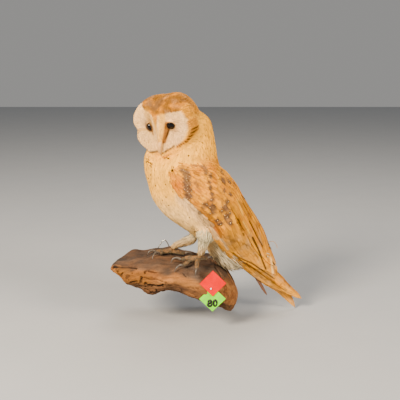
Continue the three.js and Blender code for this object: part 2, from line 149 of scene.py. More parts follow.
def lerp(a, b, t):
    return a + (b - a) * t


def step(x, low, high):
    """Rises smoothly from 0 at low to 1 at high, or falls where low is the larger."""
    t = np.clip((x - low) / (high - low), 0, 1)
    return t * t * (3 - 2 * t)


def bell(x, width):
    return np.exp(-((x / width) ** 2))


def rounded(edge):
    """The share of its full width that a round end has, where edge runs from 0 at its tip to 1."""
    return np.sqrt(np.maximum(0, 1 - (1 - edge) ** 2))


def crowded(t, share):
    """Numbers from 0 to 1, drawn towards both ends."""
    return lerp(t, 0.5 - 0.5 * np.cos(np.pi * t), share)


def blended(colour, other, share):
    """Colours with a share of another at each point."""
    return lerp(colour, other, share[:, None])


def unit(v):
    return v / np.maximum(np.linalg.norm(v, axis=-1, keepdims=True), 1e-9)


def dot(a, b):
    return np.sum(a * b, axis=-1, keepdims=True)


def eased(knots, t):
    """The value at t, 0 to 1, of a smooth curve through evenly spaced knots."""
    knots = np.asarray(knots, float)
    t = np.clip(np.asarray(t, float), 0, 1)
    spare = (1,) * (knots.ndim - 1)
    at = t * (len(knots) - 1)
    i = np.minimum(at.astype(int), len(knots) - 2)
    f = (at - i).reshape(at.shape + spare)
    p1, p2 = knots[i], knots[i + 1]
    p0 = np.where((i > 0).reshape(i.shape + spare), knots[np.maximum(i - 1, 0)], 2 * p1 - p2)
    inner = (i < len(knots) - 2).reshape(i.shape + spare)
    p3 = np.where(inner, knots[np.minimum(i + 2, len(knots) - 1)], 2 * p2 - p1)
    return p1 + 0.5 * f * (p2 - p0 + f * (2 * p0 - 5 * p1 + 4 * p2 - p3 + (3 * p1 - p0 - 3 * p2 + p3) * f))


def hashed(cell, seed):
    """A repeatable number from 0 to 1 for each whole-numbered cell."""
    n = cell[..., 0] * 374761393 + cell[..., 1] * 668265263 + cell[..., 2] * 1274126177 + seed * 974634777
    n = (n ^ (n >> 13)) * 1274126177
    return ((n ^ (n >> 16)) & 0xFFFF) / 65535.0


def noise(p, size, seed=0):
    """Smooth noise from -1 to 1 whose lumps are about size across."""
    p = p / size
    low = np.floor(p).astype(np.int64)
    f = p - low
    f = f * f * (3 - 2 * f)
    total = 0
    for corner in np.ndindex(2, 2, 2):
        weight = np.prod(np.where(np.array(corner) == 1, f, 1 - f), axis=-1)
        total = total + weight * hashed(low + np.array(corner), seed)
    return 2 * total - 1


def rough(p, size, octaves=3, seed=0):
    """Noise with finer noise on it."""
    return sum(noise(p, size / 2**k, seed + k) / 2**k for k in range(octaves)) / (2 - 0.5 ** (octaves - 1))


def near_line(points, path):
    """Each point's distance from a path of straight runs."""
    path = np.asarray(path, float)
    nearest = np.full(len(points), np.inf)
    for a, b in zip(path[:-1], path[1:]):
        run = b - a
        t = np.clip((points - a) @ run / (run @ run), 0, 1)
        nearest = np.minimum(nearest, np.linalg.norm(points - a - t[:, None] * run, axis=1))
    return nearest


# ---- frames ----


def turned(degrees, axis):
    c, s = math.cos(math.radians(degrees)), math.sin(math.radians(degrees))
    i, j = [(1, 2), (2, 0), (0, 1)][axis]
    turn = np.eye(3)
    turn[i, i], turn[i, j], turn[j, i], turn[j, j] = c, -s, s, c
    return turn


OWL_AXES = turned(HEADING, 2)
HEAD_AXES = turned(HEAD_TURN, 2) @ turned(HEAD_NOD, 1) @ turned(HEAD_TILT, 0)


def owl_from_head(p):
    return np.asarray(p, float) @ HEAD_AXES.T + HEAD_CENTRE


def head_from_owl(p):
    return (np.asarray(p, float) - HEAD_CENTRE) @ HEAD_AXES


def row_from_owl(p):
    return np.asarray(p, float) @ OWL_AXES.T + STANCE


def owl_from_row(p):
    return (p - STANCE) @ OWL_AXES


# ---- forms of the owl ----


def closed_grid(along, around):
    """t and turn at each vertex of a closed form, from pole to pole, and its faces."""
    t = np.concatenate([[0], np.repeat(np.arange(1, along) / along, around), [1]])
    turn = np.concatenate([[0], np.tile(np.arange(around) / around * 2 * np.pi, along - 1), [0]])
    k = np.arange(around)
    following = (k + 1) % around
    first = 1 + np.arange(along - 2)[:, None] * around
    quads = np.stack([first + k, first + following, first + around + following, first + around + k], -1)
    last = 1 + (along - 2) * around
    end = np.full(around, last + around)
    caps = [np.stack([0 * k, 1 + following, 1 + k], -1), np.stack([end, last + k, last + following], -1)]
    return t, turn, [quads.reshape(-1, 4), *caps]


def fans(faces):
    """Groups of faces as triangles."""
    return np.concatenate([group[:, [0, k, k + 1]] for group in faces for k in range(1, group.shape[1] - 1)])


def facing_out(points, faces):
    """The same faces, turned so that they enclose a positive volume."""
    triangles = fans(faces)
    a, b, c = (points[triangles[:, k]] for k in range(3))
    return faces if np.sum(a * np.cross(b, c)) > 0 else [group[:, ::-1] for group in faces]


def stacked(forms):
    """Several forms as one set of points and groups of faces."""
    starts = np.cumsum([0] + [len(form[0]) for form in forms[:-1]])
    points = np.concatenate([form[0] for form in forms])
    return points, [group + start for form, start in zip(forms, starts) for group in form[1]]


def sphere(t, turn):
    """Points of a ball of radius 1, whose poles lie along x."""
    angle = np.pi * t
    return np.stack([np.cos(angle), np.sin(angle) * np.cos(turn), np.sin(angle) * np.sin(turn)], -1)


def spindle(stations, side=(0, 1, 0), cap=0.12, along=24, around=24, ripple=None):
    """A rounded form through stations; ripple scales its radius by t and turn."""
    stations = np.asarray(stations, float)
    t, turn, faces = closed_grid(along, around)
    s = crowded(t, 0.75)
    end = rounded(np.minimum(np.minimum(s, 1 - s), cap) / cap)
    if ripple is not None:
        end = end * ripple(s, turn)
    middle = stations[:, :3]
    centre = eased(middle, s)
    tangent = unit(eased(middle, np.minimum(1, s + 0.01)) - eased(middle, np.maximum(0, s - 0.01)))
    side = np.asarray(side, float)
    across = unit(side - dot(tangent, side) * tangent)
    normal = np.cross(tangent, across)
    deep, wide = (eased(stations[:, 3:], s) * end[:, None]).T
    points = centre + across * (wide * np.cos(turn))[:, None] + normal * (deep * np.sin(turn))[:, None]
    return points, facing_out(points, faces)


def body_point(s, turn, inset):
    """A point of the body, s from the neck to the tail, inset millimetres inside its outline."""
    ribs = eased(BODY_RIBS, s)
    cap = 0.08
    end = rounded(np.minimum(np.minimum(s, 1 - s), cap) / cap)
    zero = np.zeros_like(s)
    front = np.stack([ribs[:, 0], zero, ribs[:, 1]], -1)
    back = np.stack([ribs[:, 2], zero, ribs[:, 3]], -1)
    half = (front - back) / 2
    half = half * (1 - inset / np.linalg.norm(half, axis=1))[:, None]
    points = (front + back) / 2 + half * (np.cos(turn) * end)[:, None]
    points[:, 1] = (ribs[:, 4] - inset) * end * np.sin(turn)
    return points


def rim_radius(turn):
    """The radius of the face's rim, cleft above the bill and pinched at its outer edge."""
    up = np.sin(turn)
    wrapped = np.mod(turn, 2 * np.pi)
    cleft = 18 * bell(wrapped - np.pi / 2, 0.42)
    chin = 2 * bell(wrapped - 1.5 * np.pi, 0.8)
    notch = 6 * bell(wrapped - 3.1, 0.19)
    return 43 - 5 * np.abs(up) ** 3 - cleft - chin - notch


def inside_rim(q):
    """How far inside the face's rim points of the head's frame lie, seen from in front of it."""
    return rim_radius(np.arctan2(q[:, 2], q[:, 1])) - np.hypot(q[:, 1], q[:, 2])


def from_eye(p):
    """How far points lie from the nearer eye, seen from in front of the face."""
    q = head_from_owl(p)
    return np.hypot(np.abs(q[:, 1]) - EYE_SIDE, q[:, 2] - EYE_HEIGHT)


def ridge_height(y, z):
    """How far the ridge between the two dishes of the face stands off them."""
    low = step(-z, -20, 26)
    return lerp(RIDGE_HEIGHT - 3, RIDGE_HEIGHT + 2, low) * bell(y, lerp(11, 6, low))


def face_depth(y, z):
    """How far forward the face is: two dishes with a ridge between them."""
    return FACE_DEPTH + ridge_height(y, z) + 2.5 * step(np.abs(y), 24, 38) + 1.5 * step(-z, 14, 30)


def eye_centre(side):
    y = side * EYE_SIDE
    return np.array([FACE_DEPTH + ridge_height(y, EYE_HEIGHT) - EYE_SUNK, y, EYE_HEIGHT])


def head_point(t, turn, inset, face_inset):
    """A point of the head in its own frame, t from the middle of the face to the back."""
    across, up = np.cos(turn), np.sin(turn)
    rim = rim_radius(turn) - 0.6 * inset
    rim_angle = math.acos(FACE_DEPTH / HEAD_DEEP)
    radius = rim * t / FACE_SHARE
    y, z = radius * across, radius * up
    sockets = 1.2 * bell(np.hypot(np.abs(y) - EYE_SIDE, z - EYE_HEIGHT), 8)
    cheeks = 1.5 * bell(np.hypot(np.abs(y) - 20, z + 17), 11)
    face = np.stack([face_depth(y, z) - face_inset - sockets + cheeks, y, z], -1)
    s = np.clip((t - FACE_SHARE) / (1 - FACE_SHARE), 0, 1)
    angle = lerp(rim_angle, np.pi, s)
    fade = (1 - s) ** 2.2
    lift = (rim - HEAD_HIGH * math.sin(rim_angle)) * fade
    rim_depth = face_depth(rim * across, rim * up) - face_inset
    back = np.stack([
        (HEAD_DEEP - inset * (1 - fade)) * np.cos(angle) + (rim_depth - FACE_DEPTH) * fade,
        ((HEAD_WIDE - inset * (1 - fade)) * np.sin(angle) + lift) * across,
        ((HEAD_HIGH - inset * (1 - fade)) * np.sin(angle) + lift) * up,
    ], -1)
    return np.where((t <= FACE_SHARE)[:, None], face, back)


def wing_point(s, a, side, height=0.0):
    """A point of a folded wing: s from its bend to its tip, a from its lower to its upper edge."""
    s, a, height = np.broadcast_arrays(np.asarray(s, float), a, height)
    share = a[..., None]
    points = eased(LEADING_EDGE, s) * (1 - share) + eased(UPPER_EDGE, s) * share
    points = points + OUTWARD * (4 * a * (1 - a) * eased(WING_BULGE, s) + height)[..., None]
    droop = WING_DROOP * np.clip(s, 0, 1.02) ** 14 * (side < 0)
    points[..., 2] -= droop
    points[..., 0] += 0.4 * droop
    points[..., 1] *= side
    return points


def wing_top(s):
    """Half the thickness of the wing's solid."""
    return 0.5 * WING_THICK * lerp(1, 0.3, s)


def wing_form(side, inset, tip):
    """The skin's form under a folded wing, as far as tip, and where its points lie on the wing."""
    t, turn, faces = closed_grid(70, 60)
    s = crowded(t, 0.4)
    end = rounded(np.minimum(np.minimum(1, s / 0.06), (1 - s) / 0.04))
    s = s * tip
    across = 0.5 - 0.5 * np.cos(turn) * end * 0.97
    height = np.maximum(wing_top(s) - inset, 1.4) * np.sin(turn) * end
    lowered = np.minimum(0, wing_top(s) - inset - 1.4)
    points = wing_point(s, across, side, height + lowered)
    return points, facing_out(points, faces), np.stack([s, across], -1)


# ---- meshes and finishes ----


def new_mesh(name, points, faces):
    """A mesh from points in the row's frame, in millimetres, and groups of faces with as many corners."""
    mesh = bpy.data.meshes.new(name)
    corners = np.concatenate([group.ravel() for group in faces]).astype(np.int32)
    counts = np.concatenate([np.full(len(group), group.shape[1]) for group in faces])
    starts = np.concatenate([[0], np.cumsum(counts)[:-1]]).astype(np.int32)
    mesh.vertices.add(len(points))
    mesh.vertices.foreach_set("co", (np.asarray(points, np.float32) / 1000).ravel())
    mesh.loops.add(len(corners))
    mesh.loops.foreach_set("vertex_index", corners)
    mesh.polygons.add(len(counts))
    mesh.polygons.foreach_set("loop_start", starts)
    mesh.update(calc_edges=True)
    mesh.shade_smooth()
    return mesh


def note(mesh, values):
    """Keeps values, one or three to a vertex, on the mesh for its material to read."""
    for name, value in values.items():
        value = np.asarray(value, np.float32)
        if value.ndim == 1:
            mesh.attributes.new(name, "FLOAT", "POINT").data.foreach_set("value", value)
        else:
            colour = np.concatenate([value, np.ones((len(value), 1), np.float32)], axis=1)
            mesh.attributes.new(name, "FLOAT_COLOR", "POINT").data.foreach_set("color", colour.ravel())


def lay_map(mesh, name, places):
    """Gives the mesh a map from its points' places on it."""
    corners = np.empty(len(mesh.loops), np.int32)
    mesh.loops.foreach_get("vertex_index", corners)
    layer = mesh.uv_layers.new(name=name)
    layer.data.foreach_set("uv", np.asarray(places, np.float32)[corners].ravel())


def place(name, mesh, material, replaced=()):
    """Puts a piece in the scene: its finish, its body and the nodes it stands for."""
    piece = bpy.data.objects.new(name, mesh)
    bpy.context.scene.collection.objects.link(piece)
    mesh.materials.clear()
    mesh.materials.append(material)
    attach(piece, "root")
    if replaced:
        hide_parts(*replaced)
    return piece


def paint(red, green, blue):
    """A colour as light, from its usual 0 to 255 numbers."""
    c = np.array([red, green, blue]) / 255
    return tuple(np.where(c <= 0.04045, c / 12.92, ((c + 0.055) / 1.055) ** 2.4))


class Term:
    """A socket of a shader that takes part in Python arithmetic, each operation adding a Math node."""

    def __init__(self, finish, socket):
        self.finish = finish
        self.socket = socket

    def math(self, operation, *terms):
        return self.finish.node("Math", {"operation": operation}, dict(enumerate(terms)))

    def __add__(self, other):
        return self.math("ADD", self, other)

    __radd__ = __add__

    def __mul__(self, other):
        return self.math("MULTIPLY", self, other)

    __rmul__ = __mul__

    def __sub__(self, other):
        return self.math("SUBTRACT", self, other)

    def __rsub__(self, other):
        return self.math("SUBTRACT", other, self)

    def __pow__(self, other):
        return self.math("POWER", self, other)

    def __abs__(self):
        return self.math("ABSOLUTE", self)

    def sine(self):
        return self.math("SINE", self)

    def root(self):
        return self.math("SQRT", self)

    def step(self, low, high):
        """Rises smoothly from 0 at low to 1 at high, or falls where low is the larger."""
        ends = (0.0, 1.0) if low < high else (1.0, 0.0)
        inputs = {0: self, 1: min(low, high), 2: max(low, high), 3: ends[0], 4: ends[1]}
        return self.finish.node("MapRange", {"interpolation_type": "SMOOTHSTEP"}, inputs)


class Finish:
    """A material with one Principled shader, whose other nodes come from node()."""

    def __init__(self, name, **uniform):
        self.material = bpy.data.materials.new(name)
        self.material.use_nodes = True
        self.tree = self.material.node_tree
        self.tree.nodes.clear()
        output = self.tree.nodes.new("ShaderNodeOutputMaterial")
        self.shader = self.tree.nodes.new("ShaderNodeBsdfPrincipled")
        self.tree.links.new(self.shader.outputs[0], output.inputs[0])
        self.put(**uniform)

    def put(self, **sockets):
        """Sets or links sockets of the shader, named in lower case with underscores."""
        for name, value in sockets.items():
            title = {"ior": "IOR", "specular": "Specular IOR Level"}.get(name, name.replace("_", " ").title())
            self.join(value, self.shader.inputs[title])

    def join(self, value, socket):
        if isinstance(value, Term):
            self.tree.links.new(value.socket, socket)
        elif np.ndim(value) and len(value) == 3 and len(socket.default_value) == 4:
            socket.default_value = (*value, 1)
        else:
            socket.default_value = value

    def node(self, kind, settings=None, inputs=None, output=0):
        node = self.tree.nodes.new("ShaderNode" + kind)
        for name, value in (settings or {}).items():
            setattr(node, name, value)
        for name, value in (inputs or {}).items():
            self.join(value, node.inputs[name])
        return Term(self, node.outputs[output])

    def mix(self, share, a, b, blend="MIX"):
        return self.node("Mix", {"data_type": "RGBA", "blend_type": blend}, {0: share, 6: a, 7: b}, 2)

    def kept(self, name, output="Fac"):
        return self.node("Attribute", {"attribute_name": name}, output=output)

    def stretched(self, stretch=(1, 1, 1)):
        """Object coordinates, stretched."""
        where = self.node("TexCoord", output="Object")
        return self.node("Mapping", {"vector_type": "POINT"}, {"Vector": where, "Scale": stretch})

    def lumps(self, size, detail, stretch=(1, 1, 1), distortion=0.0):
        """Noise from 0 to 1 with lumps about size millimetres across."""
        where = self.stretched(stretch)
        inputs = {"Vector": where, "Scale": 1000 / size, "Detail": detail, "Distortion": distortion}
        return self.node("TexNoise", None, inputs)

    def cells(self, size, feature):
        """How far each point is from the middle or the edge of a cell about size millimetres across."""
        inputs = {"Vector": self.stretched(), "Scale": 1000 / size}
        return self.node("TexVoronoi", {"feature": feature}, inputs, "Distance")

    def shade(self, colour, factor):
        """The colour made lighter or darker by a factor that varies."""
        return self.mix(1.0, colour, factor, "MULTIPLY")

    def relief(self, height, millimetres, strength):
        """Bumps as high as the height, from 0 to 1, times the millimetres."""
        inputs = {"Height": height, "Distance": millimetres / 1000, "Strength": strength}
        self.put(normal=self.node("Bump", None, inputs))


# ---- what a user may change ----


def tint(name, description, *rgb):
    limits = {"size": 3, "min": 0, "max": 1}
    return bpy.props.FloatVectorProperty(
        name=name, description=description, subtype="COLOR", default=paint(*rgb), **limits
    )


def length(name, description, millimetres):
    return bpy.props.FloatProperty(
        name=name, description=description, unit="LENGTH", min=0, default=millimetres / 1000
    )


class OwlColours(bpy.types.PropertyGroup):
    """Colours of the plumage and the bare parts."""

    breast: tint("Breast", "Cream of the throat and breast", 241, 178, 55)
    belly: tint("Belly", "Whitish grey of the belly", 255, 207, 127)
    fluff: tint("Undertail", "Grey-white down under the tail", 206, 192, 158)
    nape: tint("Nape", "Buff of the neck's sides and back", 250, 180, 40)
    crown: tint("Crown", "Golden brown of the crown", 137, 98, 34)
    mauve: tint("Mauve", "Mauve-grey patches of the crown and wings", 97, 77, 65)
    covert: tint("Coverts", "Orange of the wing coverts and mantle", 194, 121, 14)
    ochre: tint("Deep ochre", "Deepest orange, near the wing's lower edge", 182, 97, 10)
    flight: tint("Flight feathers", "Pale pinkish buff of the flight feathers", 218, 151, 46)
    edge: tint("Feather edges", "Yellow edges of the long feathers", 243, 168, 15)
    bar: tint("Bars", "Dark brown of bars, streaks and spots", 60, 40, 26)
    face: tint("Face", "Pinkish white of the face", 236, 192, 132)
    ruff: tint("Ruff", "Orange of the face's rim", 196, 130, 34)
    stain: tint("Stain", "Brown stain between the eyes and the bill", 140, 92, 40)
    leg: tint("Legs", "Grey cream of the legs", 203, 190, 152)
    toe: tint("Toes", "Dried skin of the toes", 106, 90, 66)
    claw: tint("Claws", "Horn of the claws", 84, 76, 68)
    bill: tint("Bill", "Pale horn of the bill", 201, 152, 84)


class OwlSizes(bpy.types.PropertyGroup):
    """Sizes of the skin and the coat."""

    voxel: length("Skin grain", "Size of the skin's faces", 1.5)
    coat: length("Coat depth", "How far the skin lies inside the body's outline", 2.6)
    wing_coat: length("Wing coat depth", "How far the skin lies inside the wing's outline", 1.7)
    breast_feather: length("Breast feather", "Length of a breast feather", 13)
    crown_feather: length("Crown feather", "Length of a crown feather", 8)
    face_feather: length("Face feather", "Length of a face feather", 5.5)


class MountColours(bpy.types.PropertyGroup):
    """Colours of the driftwood, the hanger and the cards."""

    wood: tint("Wood", "Orange brown of the broken front", 143, 96, 50)
    weathered: tint("Weathered wood", "Mauve brown of the weathered top", 76, 65, 57)
    golden: tint("Broken wood", "Golden brown of the broken end", 127, 82, 21)
    # Painted shade inside the cracks, holes and grooves.
    hollow_shade: tint("Cracks", "Dark brown of cracks and holes", 30, 22, 16)
    red_card: tint("Red card", "Colour of the upper card", 217, 2, 2)
    green_card: tint("Green card", "Colour of the lower card", 119, 224, 1)
    ink: tint("Ink", "Colour of the number", 10, 12, 10)


def colours():
    """The plumage's colours by name, as arrays."""
    group = bpy.context.scene.owl_colours
    return {name: np.array(getattr(group, name)) for name in OwlColours.__annotations__}


def sizes():
    """The coat's sizes by name, in millimetres."""
    group = bpy.context.scene.owl_sizes
    return {name: 1000 * getattr(group, name) for name in OwlSizes.__annotations__}


# ---- markings ----

HEAD, BODY, WING, TAIL_PART, LEG = range(5)

# Mauve-grey patches of a wing: their place from bend to tip and from lower to upper edge, and size.
WING_PATCHES = [
    (0.03, 0.52, 5), (0.055, 0.42, 6), (0.075, 0.34, 6), (0.105, 0.23, 7), (0.14, 0.16, 7), (0.18, 0.09, 7),
    (0.16, 0.55, 4), (0.14, 0.67, 4), (0.19, 0.47, 4), (0.225, 0.4, 4), (0.255, 0.33, 4), (0.21, 0.78, 6),
    (0.245, 0.86, 5), (0.275, 0.17, 6), (0.3, 0.23, 6), (0.33, 0.17, 5), (0.25, 0.62, 4), (0.29, 0.66, 4),
    (0.31, 0.49, 5), (0.335, 0.38, 7), (0.375, 0.35, 7), (0.42, 0.31, 5), (0.385, 0.15, 4), (0.41, 0.17, 4),
    (0.425, 0.77, 4), (0.51, 0.84, 4), (0.36, 0.93, 5), (0.5, 0.17, 4), (0.535, 0.2, 5),
]

# Lines and edges on a wing: colour, share, half width where it starts and ends, and path from bend to tip and
# from lower to upper edge. The "bar" lines are painted shadows in the gaps between feathers.
WING_LINES = [
    # This cream line is a painted highlight where light catches the wing.
    ("breast", 0.7, 3.0, 2.4, [(0.338, 0.72), (0.403, 0.62)]),
    ("edge", 0.9, 1.9, 1.3, [(0.383, 0.41), (0.49, 0.41)]),
    ("breast", 0.8, 1.7, 1.5, [(0.438, 0.54), (0.515, 0.545)]),
    ("edge", 0.9, 1.8, 1.7, [(0.547, 0.5), (0.63, 0.5), (0.703, 0.48)]),
    ("covert", 0.8, 1.8, 1.5, [(0.552, 0.6), (0.63, 0.66), (0.71, 0.8)]),
    ("edge", 0.9, 1.7, 1.5, [(0.6, 0.05), (0.69, 0.09), (0.76, 0.15)]),
    ("covert", 0.9, 1.4, 1.3, [(0.7, 0.06), (0.8, 0.12), (0.88, 0.2)]),
    ("edge", 0.7, 2.4, 2.0, [(0.86, 0.18), (0.98, 0.36)]),
    ("belly", 1.0, 3.6, 1.8, [(0.735, 0.8), (0.77, 0.7), (0.808, 0.52)]),
    ("face", 1.0, 2.4, 1.8, [(0.512, 0.05), (0.57, 0.04), (0.593, 0.03)]),
    ("belly", 0.9, 1.5, 1.2, [(0.145, 0.225), (0.185, 0.215)]),
    ("face", 1.0, 3.0, 3.6, [(0.2, 0.0), (0.3, 0.0), (0.4, 0.0), (0.5, 0.0)]),
    ("bar", 0.8, 1.5, 1.3, [(0.41, 0.475), (0.465, 0.445), (0.515, 0.42)]),
    ("bar", 0.9, 1.6, 1.5, [(0.455, 0.69), (0.555, 0.67), (0.638, 0.7)]),
    ("bar", 1.0, 1.8, 1.5, [(0.552, 0.56), (0.638, 0.55), (0.71, 0.495), (0.77, 0.39)]),
    ("bar", 0.95, 1.4, 1.1, [(0.64, 0.025), (0.74, 0.075), (0.85, 0.105), (0.915, 0.075)]),
    ("bar", 0.45, 1.6, 1.1, [(0.5, 0.1), (0.55, 0.28), (0.6, 0.4), (0.68, 0.42)]),
    ("stain", 0.6, 2.2, 1.4, [(0.12, 0.36), (0.16, 0.3), (0.215, 0.25)]),
    ("stain", 0.5, 2.4, 1.4, [(0.3, 0.06), (0.36, 0.1), (0.43, 0.1)]),
    ("stain", 0.5, 2.0, 1.2, [(0.27, 0.45), (0.31, 0.42), (0.33, 0.33)]),
    ("bar", 0.6, 1.22, 0.94, [(0.505, 0.82), (0.552, 0.79)]),
    ("bar", 0.95, 1.3, 1.2, [(0.618, 0.05), (0.66, 0.07), (0.71, 0.185), (0.848, 0.325)]),
    ("bar", 0.6, 0.94, 0.81, [(0.7, 0.08), (0.76, 0.13), (0.83, 0.2), (0.9, 0.22)]),
    ("bar", 1.0, 1.7, 1.2, [(0.76, 0.8), (0.85, 0.72), (0.925, 0.675)]),
    ("bar", 0.5, 1.62, 0.94, [(0.02, 0.66), (0.06, 0.6), (0.1, 0.56)]),
    ("bar", 0.4, 1.08, 0.81, [(0.24, 0.06), (0.31, 0.07)]),
]

# The white of the face on each side of its ridge, as y and z in the head's own frame.
DISC_LEFT = [
    (5.5, 19.5), (12.6, 18.6), (17.8, 19.4), (28.7, 20), (36.6, 20), (39.1, 16.3), (40.6, 11.3), (42.6, 7.1),
    (42.2, 0.9), (40, -6), (36, -12.5), (29.5, -18.5), (22, -23.5), (18, -26.5), (9, -28), (3, -29.5),
    (0, -20), (0, 0), (3, 13),
]
DISC_RIGHT = [
    (-24, 35), (-16.4, 27.8), (-9, 25), (-3, 21), (-1, 12), (0, 0), (0, -20), (-3, -31), (-14, -31.6),
    (-20, -31.8), (-26.7, -31), (-30.8, -29), (-35, -24.2), (-40, -20), (-48, -8), (-48, 8), (-48, 22),
    (-40, 34),
]

# Lines of the face: colour, share, half width where it starts and ends, and path in y and z. The shaded tan
# lines are painted shade: over the right disc, down the shaded side of the ridge and in the crease by the
# notch.
FACE_LINES = [
    ("tan", 0.5, 6.0, 5.0, [(-13, 23), (-12, 12)]),
    ("tan", 0.55, 2.4, 1.5, [(-1, 17), (0, 5), (0.3, -8), (-0.4, -20)]),
    ("tan", 0.5, 2.4, 1.6, [(-37, -0.5), (-30, 1.5), (-22, 1)]),
    ("breast", 0.75, 3.6, 1.6, [(9.5, 17), (7.5, 8), (5, -3), (2.7, -13), (1.2, -22)]),
    ("edge", 0.6, 2.6, 2.2, [(38, 22), (42.5, 14), (45, 7)]), ("nape", 0.75, 2.6, 2.2, [(45, 5), (44.5, -5)]),
    ("ruff", 0.9, 3.0, 1.9, [(44, 3), (45, -6), (41.2, -13), (35.6, -19), (25.6, -24), (18, -27)]),
    ("ruff", 0.95, 3.0, 1.8, [(14.6, 6), (11, 0.6), (8.6, -5.5), (6.4, -11.5), (4.9, -16)]),
    ("stain", 1.0, 3.2, 1.2, [(13, 5), (11.4, -0.5), (8.8, -7), (6.2, -12.5), (4.6, -17)]),
    ("stain", 0.8, 1.5, 0.9, [(-13.2, 1.5), (-13.8, -7.5)]),
    ("bar", 0.6, 3.0, 1.4, [(-20.5, 8), (-17, 4), (-14.5, -2)]), ("bar", 0.6, 1.8, 1.0, [(-13, 9), (-11, 4)]),
    ("bar", 0.8, 1.6, 0.8, [(14.2, 5), (12.6, -2.6), (9.8, -8.2), (7.0, -12.6)]),
    ("bar", 0.7, 0.6, 0.6, [(4.7, -16), (3.4, -21.5), (2.6, -25.5)]),
    ("bar", 1.0, 1.1, 1.4, [(2.0, -29.2), (9, -27.6), (14, -25.6)]),
    ("bar", 1.0, 1.5, 1.4, [(-36.5, -22), (-32, -28), (-27, -30.4), (-19, -31.2), (-12, -31)]),
    ("ruff", 0.5, 2.6, 2.2, [(-14, -34.5), (-20, -35), (-28, -33.5)]),
    ("bar", 0.5, 0.7, 0.5, [(12.5, -3.3), (20.8, -5.8), (26, -6.4)]),
    ("bar", 0.5, 0.6, 0.4, [(22.5, 6.8), (32, 4.4)]), ("bar", 0.45, 0.6, 0.4, [(23.5, 2.6), (29.6, -0.6)]),
    ("bar", 0.25, 1.2, 0.8, [(17.6, -8), (15.7, -14)]), ("bar", 0.45, 0.8, 0.5, [(-21, 12.4), (-16, 10.6)]),
    ("bar", 0.55, 0.6, 0.6, [(18.2, 20.6), (27.5, 20.9)]),
]


def inside_outline(spots, outline):
    """How far inside a closed outline spots lie, negative outside."""
    outline = np.array([*outline, outline[0]], float)
    within = np.zeros(len(spots), bool)
    for (y0, z0), (y1, z1) in zip(outline[:-1], outline[1:]):
        level = (z0 > spots[:, 1]) != (z1 > spots[:, 1])
        within ^= level & (spots[:, 0] < y0 + (spots[:, 1] - z0) * (y1 - y0) / (z1 - z0 + 1e-9))
    far = near_line(spots, outline)
    return np.where(within, far, -far)


def on_line(spots, path, start, end):
    """How much of each spot a line covers, its half width running from start to end."""
    path = np.asarray(path, float)
    runs = np.linalg.norm(np.diff(path, axis=0), axis=1)
    best = np.zeros(len(spots))
    for a, b, done, run in zip(path[:-1], path[1:], np.cumsum(runs) - runs, runs):
        t = np.clip((spots - a) @ (b - a) / run**2, 0, 1)
        width = lerp(start, end, (done + t * run) / runs.sum())
        away = np.linalg.norm(spots - a - t[:, None] * (b - a), axis=1)
        best = np.maximum(best, step(away / width, 1.5, 0.6))
    return best


def lined(ground, spots, lines, c, laid=lambda path: path, fade=1.0):
    """The ground with lines drawn over it, and how dark they are."""
    dark = np.zeros(len(spots))
    # A greyer, darker tan for painted shade on the face.
    tan = c["nape"] * [0.62, 0.66, 1.6]
    for name, share, start, end, path in lines:
        cover = share * fade * on_line(spots, laid(path), start, end)
        if name == "bar":
            dark = np.maximum(dark, cover)
        else:
            ground, dark = blended(ground, tan if name == "tan" else c[name], cover), dark * (1 - cover)
    return ground, dark


def head_colours(p, c):
    """Ground colour, mauve share and dark share on the head."""
    q = head_from_owl(p)
    spots = q[:, 1:]
    turn = np.arctan2(q[:, 2], q[:, 1])
    facing = step(q[:, 0], 8, 14) * step(inside_rim(q), -5, -3)
    high = step(q[:, 2], -4, 14)[:, None]
    rear = step(q[:, 0], 6, -22)[:, None]
    back = lerp(c["breast"], c["nape"], 0.5 + 0.5 * rear)
    back = lerp(back, lerp(c["crown"], c["nape"], 0.8 * rear), high)
    gold = step(rough(p, 9, 2, 5), 0.0, 0.45)[:, None] * high
    back = lerp(back, c["edge"], 0.5 * gold)
    pink = step(rough(p, 11, 2, 7), 0.1, 0.5)[:, None] * high * (1 - rear)
    back = lerp(back, c["leg"] * [0.8, 0.55, 0.5], 0.5 * pink) * lerp(np.ones(3), [0.93, 0.78, 0.55], high)
    mauve = 0.45 * step(rough(p, 13, 3, 9), 0.0, 0.4) * high[:, 0] * step(q[:, 0], -22, -4) * (1 - facing)
    eyes = np.array([[17.5, 2.6], [-14.4, 4.9]])
    eye = np.linalg.norm(spots - np.where(q[:, 1:2] > 0, eyes[0], eyes[1]), axis=1)
    face = blended(c["face"], c["belly"] * 0.9, 0.6 * step(noise(p, 9, 15), -0.3, 0.6))
    left_shade = bell(np.linalg.norm(spots - [20, -3.5], axis=1), 5.5)
    right_shade = bell(np.linalg.norm((spots - [-15.5, 4]) * [1.0, 0.8], axis=1), 7.5)
    rings = lerp(c["stain"] * 0.9, lerp(c["stain"], c["bar"], 0.6), step(q[:, 1:2], 1, -1))
    shade = np.clip(0.45 * left_shade + 0.6 * right_shade + 0.8 * bell(eye, 4.9), 0, 0.9)
    face = blended(face, rings, shade)
    discs = [step(inside_outline(spots, outline), -0.7, 0.7) for outline in (DISC_LEFT, DISC_RIGHT)]
    ground = blended(back, face, np.maximum(*discs) * facing)
    near = step(q[:, 0], 0, 7)
    ground, dark = lined(ground, spots, FACE_LINES, c, fade=near)
    beads = on_line(spots, [(44, -8), (41.8, -13), (36.4, -19), (26, -24), (19, -26.8)], 1.6, 1.4) * near
    dark = np.maximum(dark, 0.95 * beads * (0.3 + 0.7 * step(np.sin(turn * 64), -0.3, 0.4)))
    return ground, mauve, dark


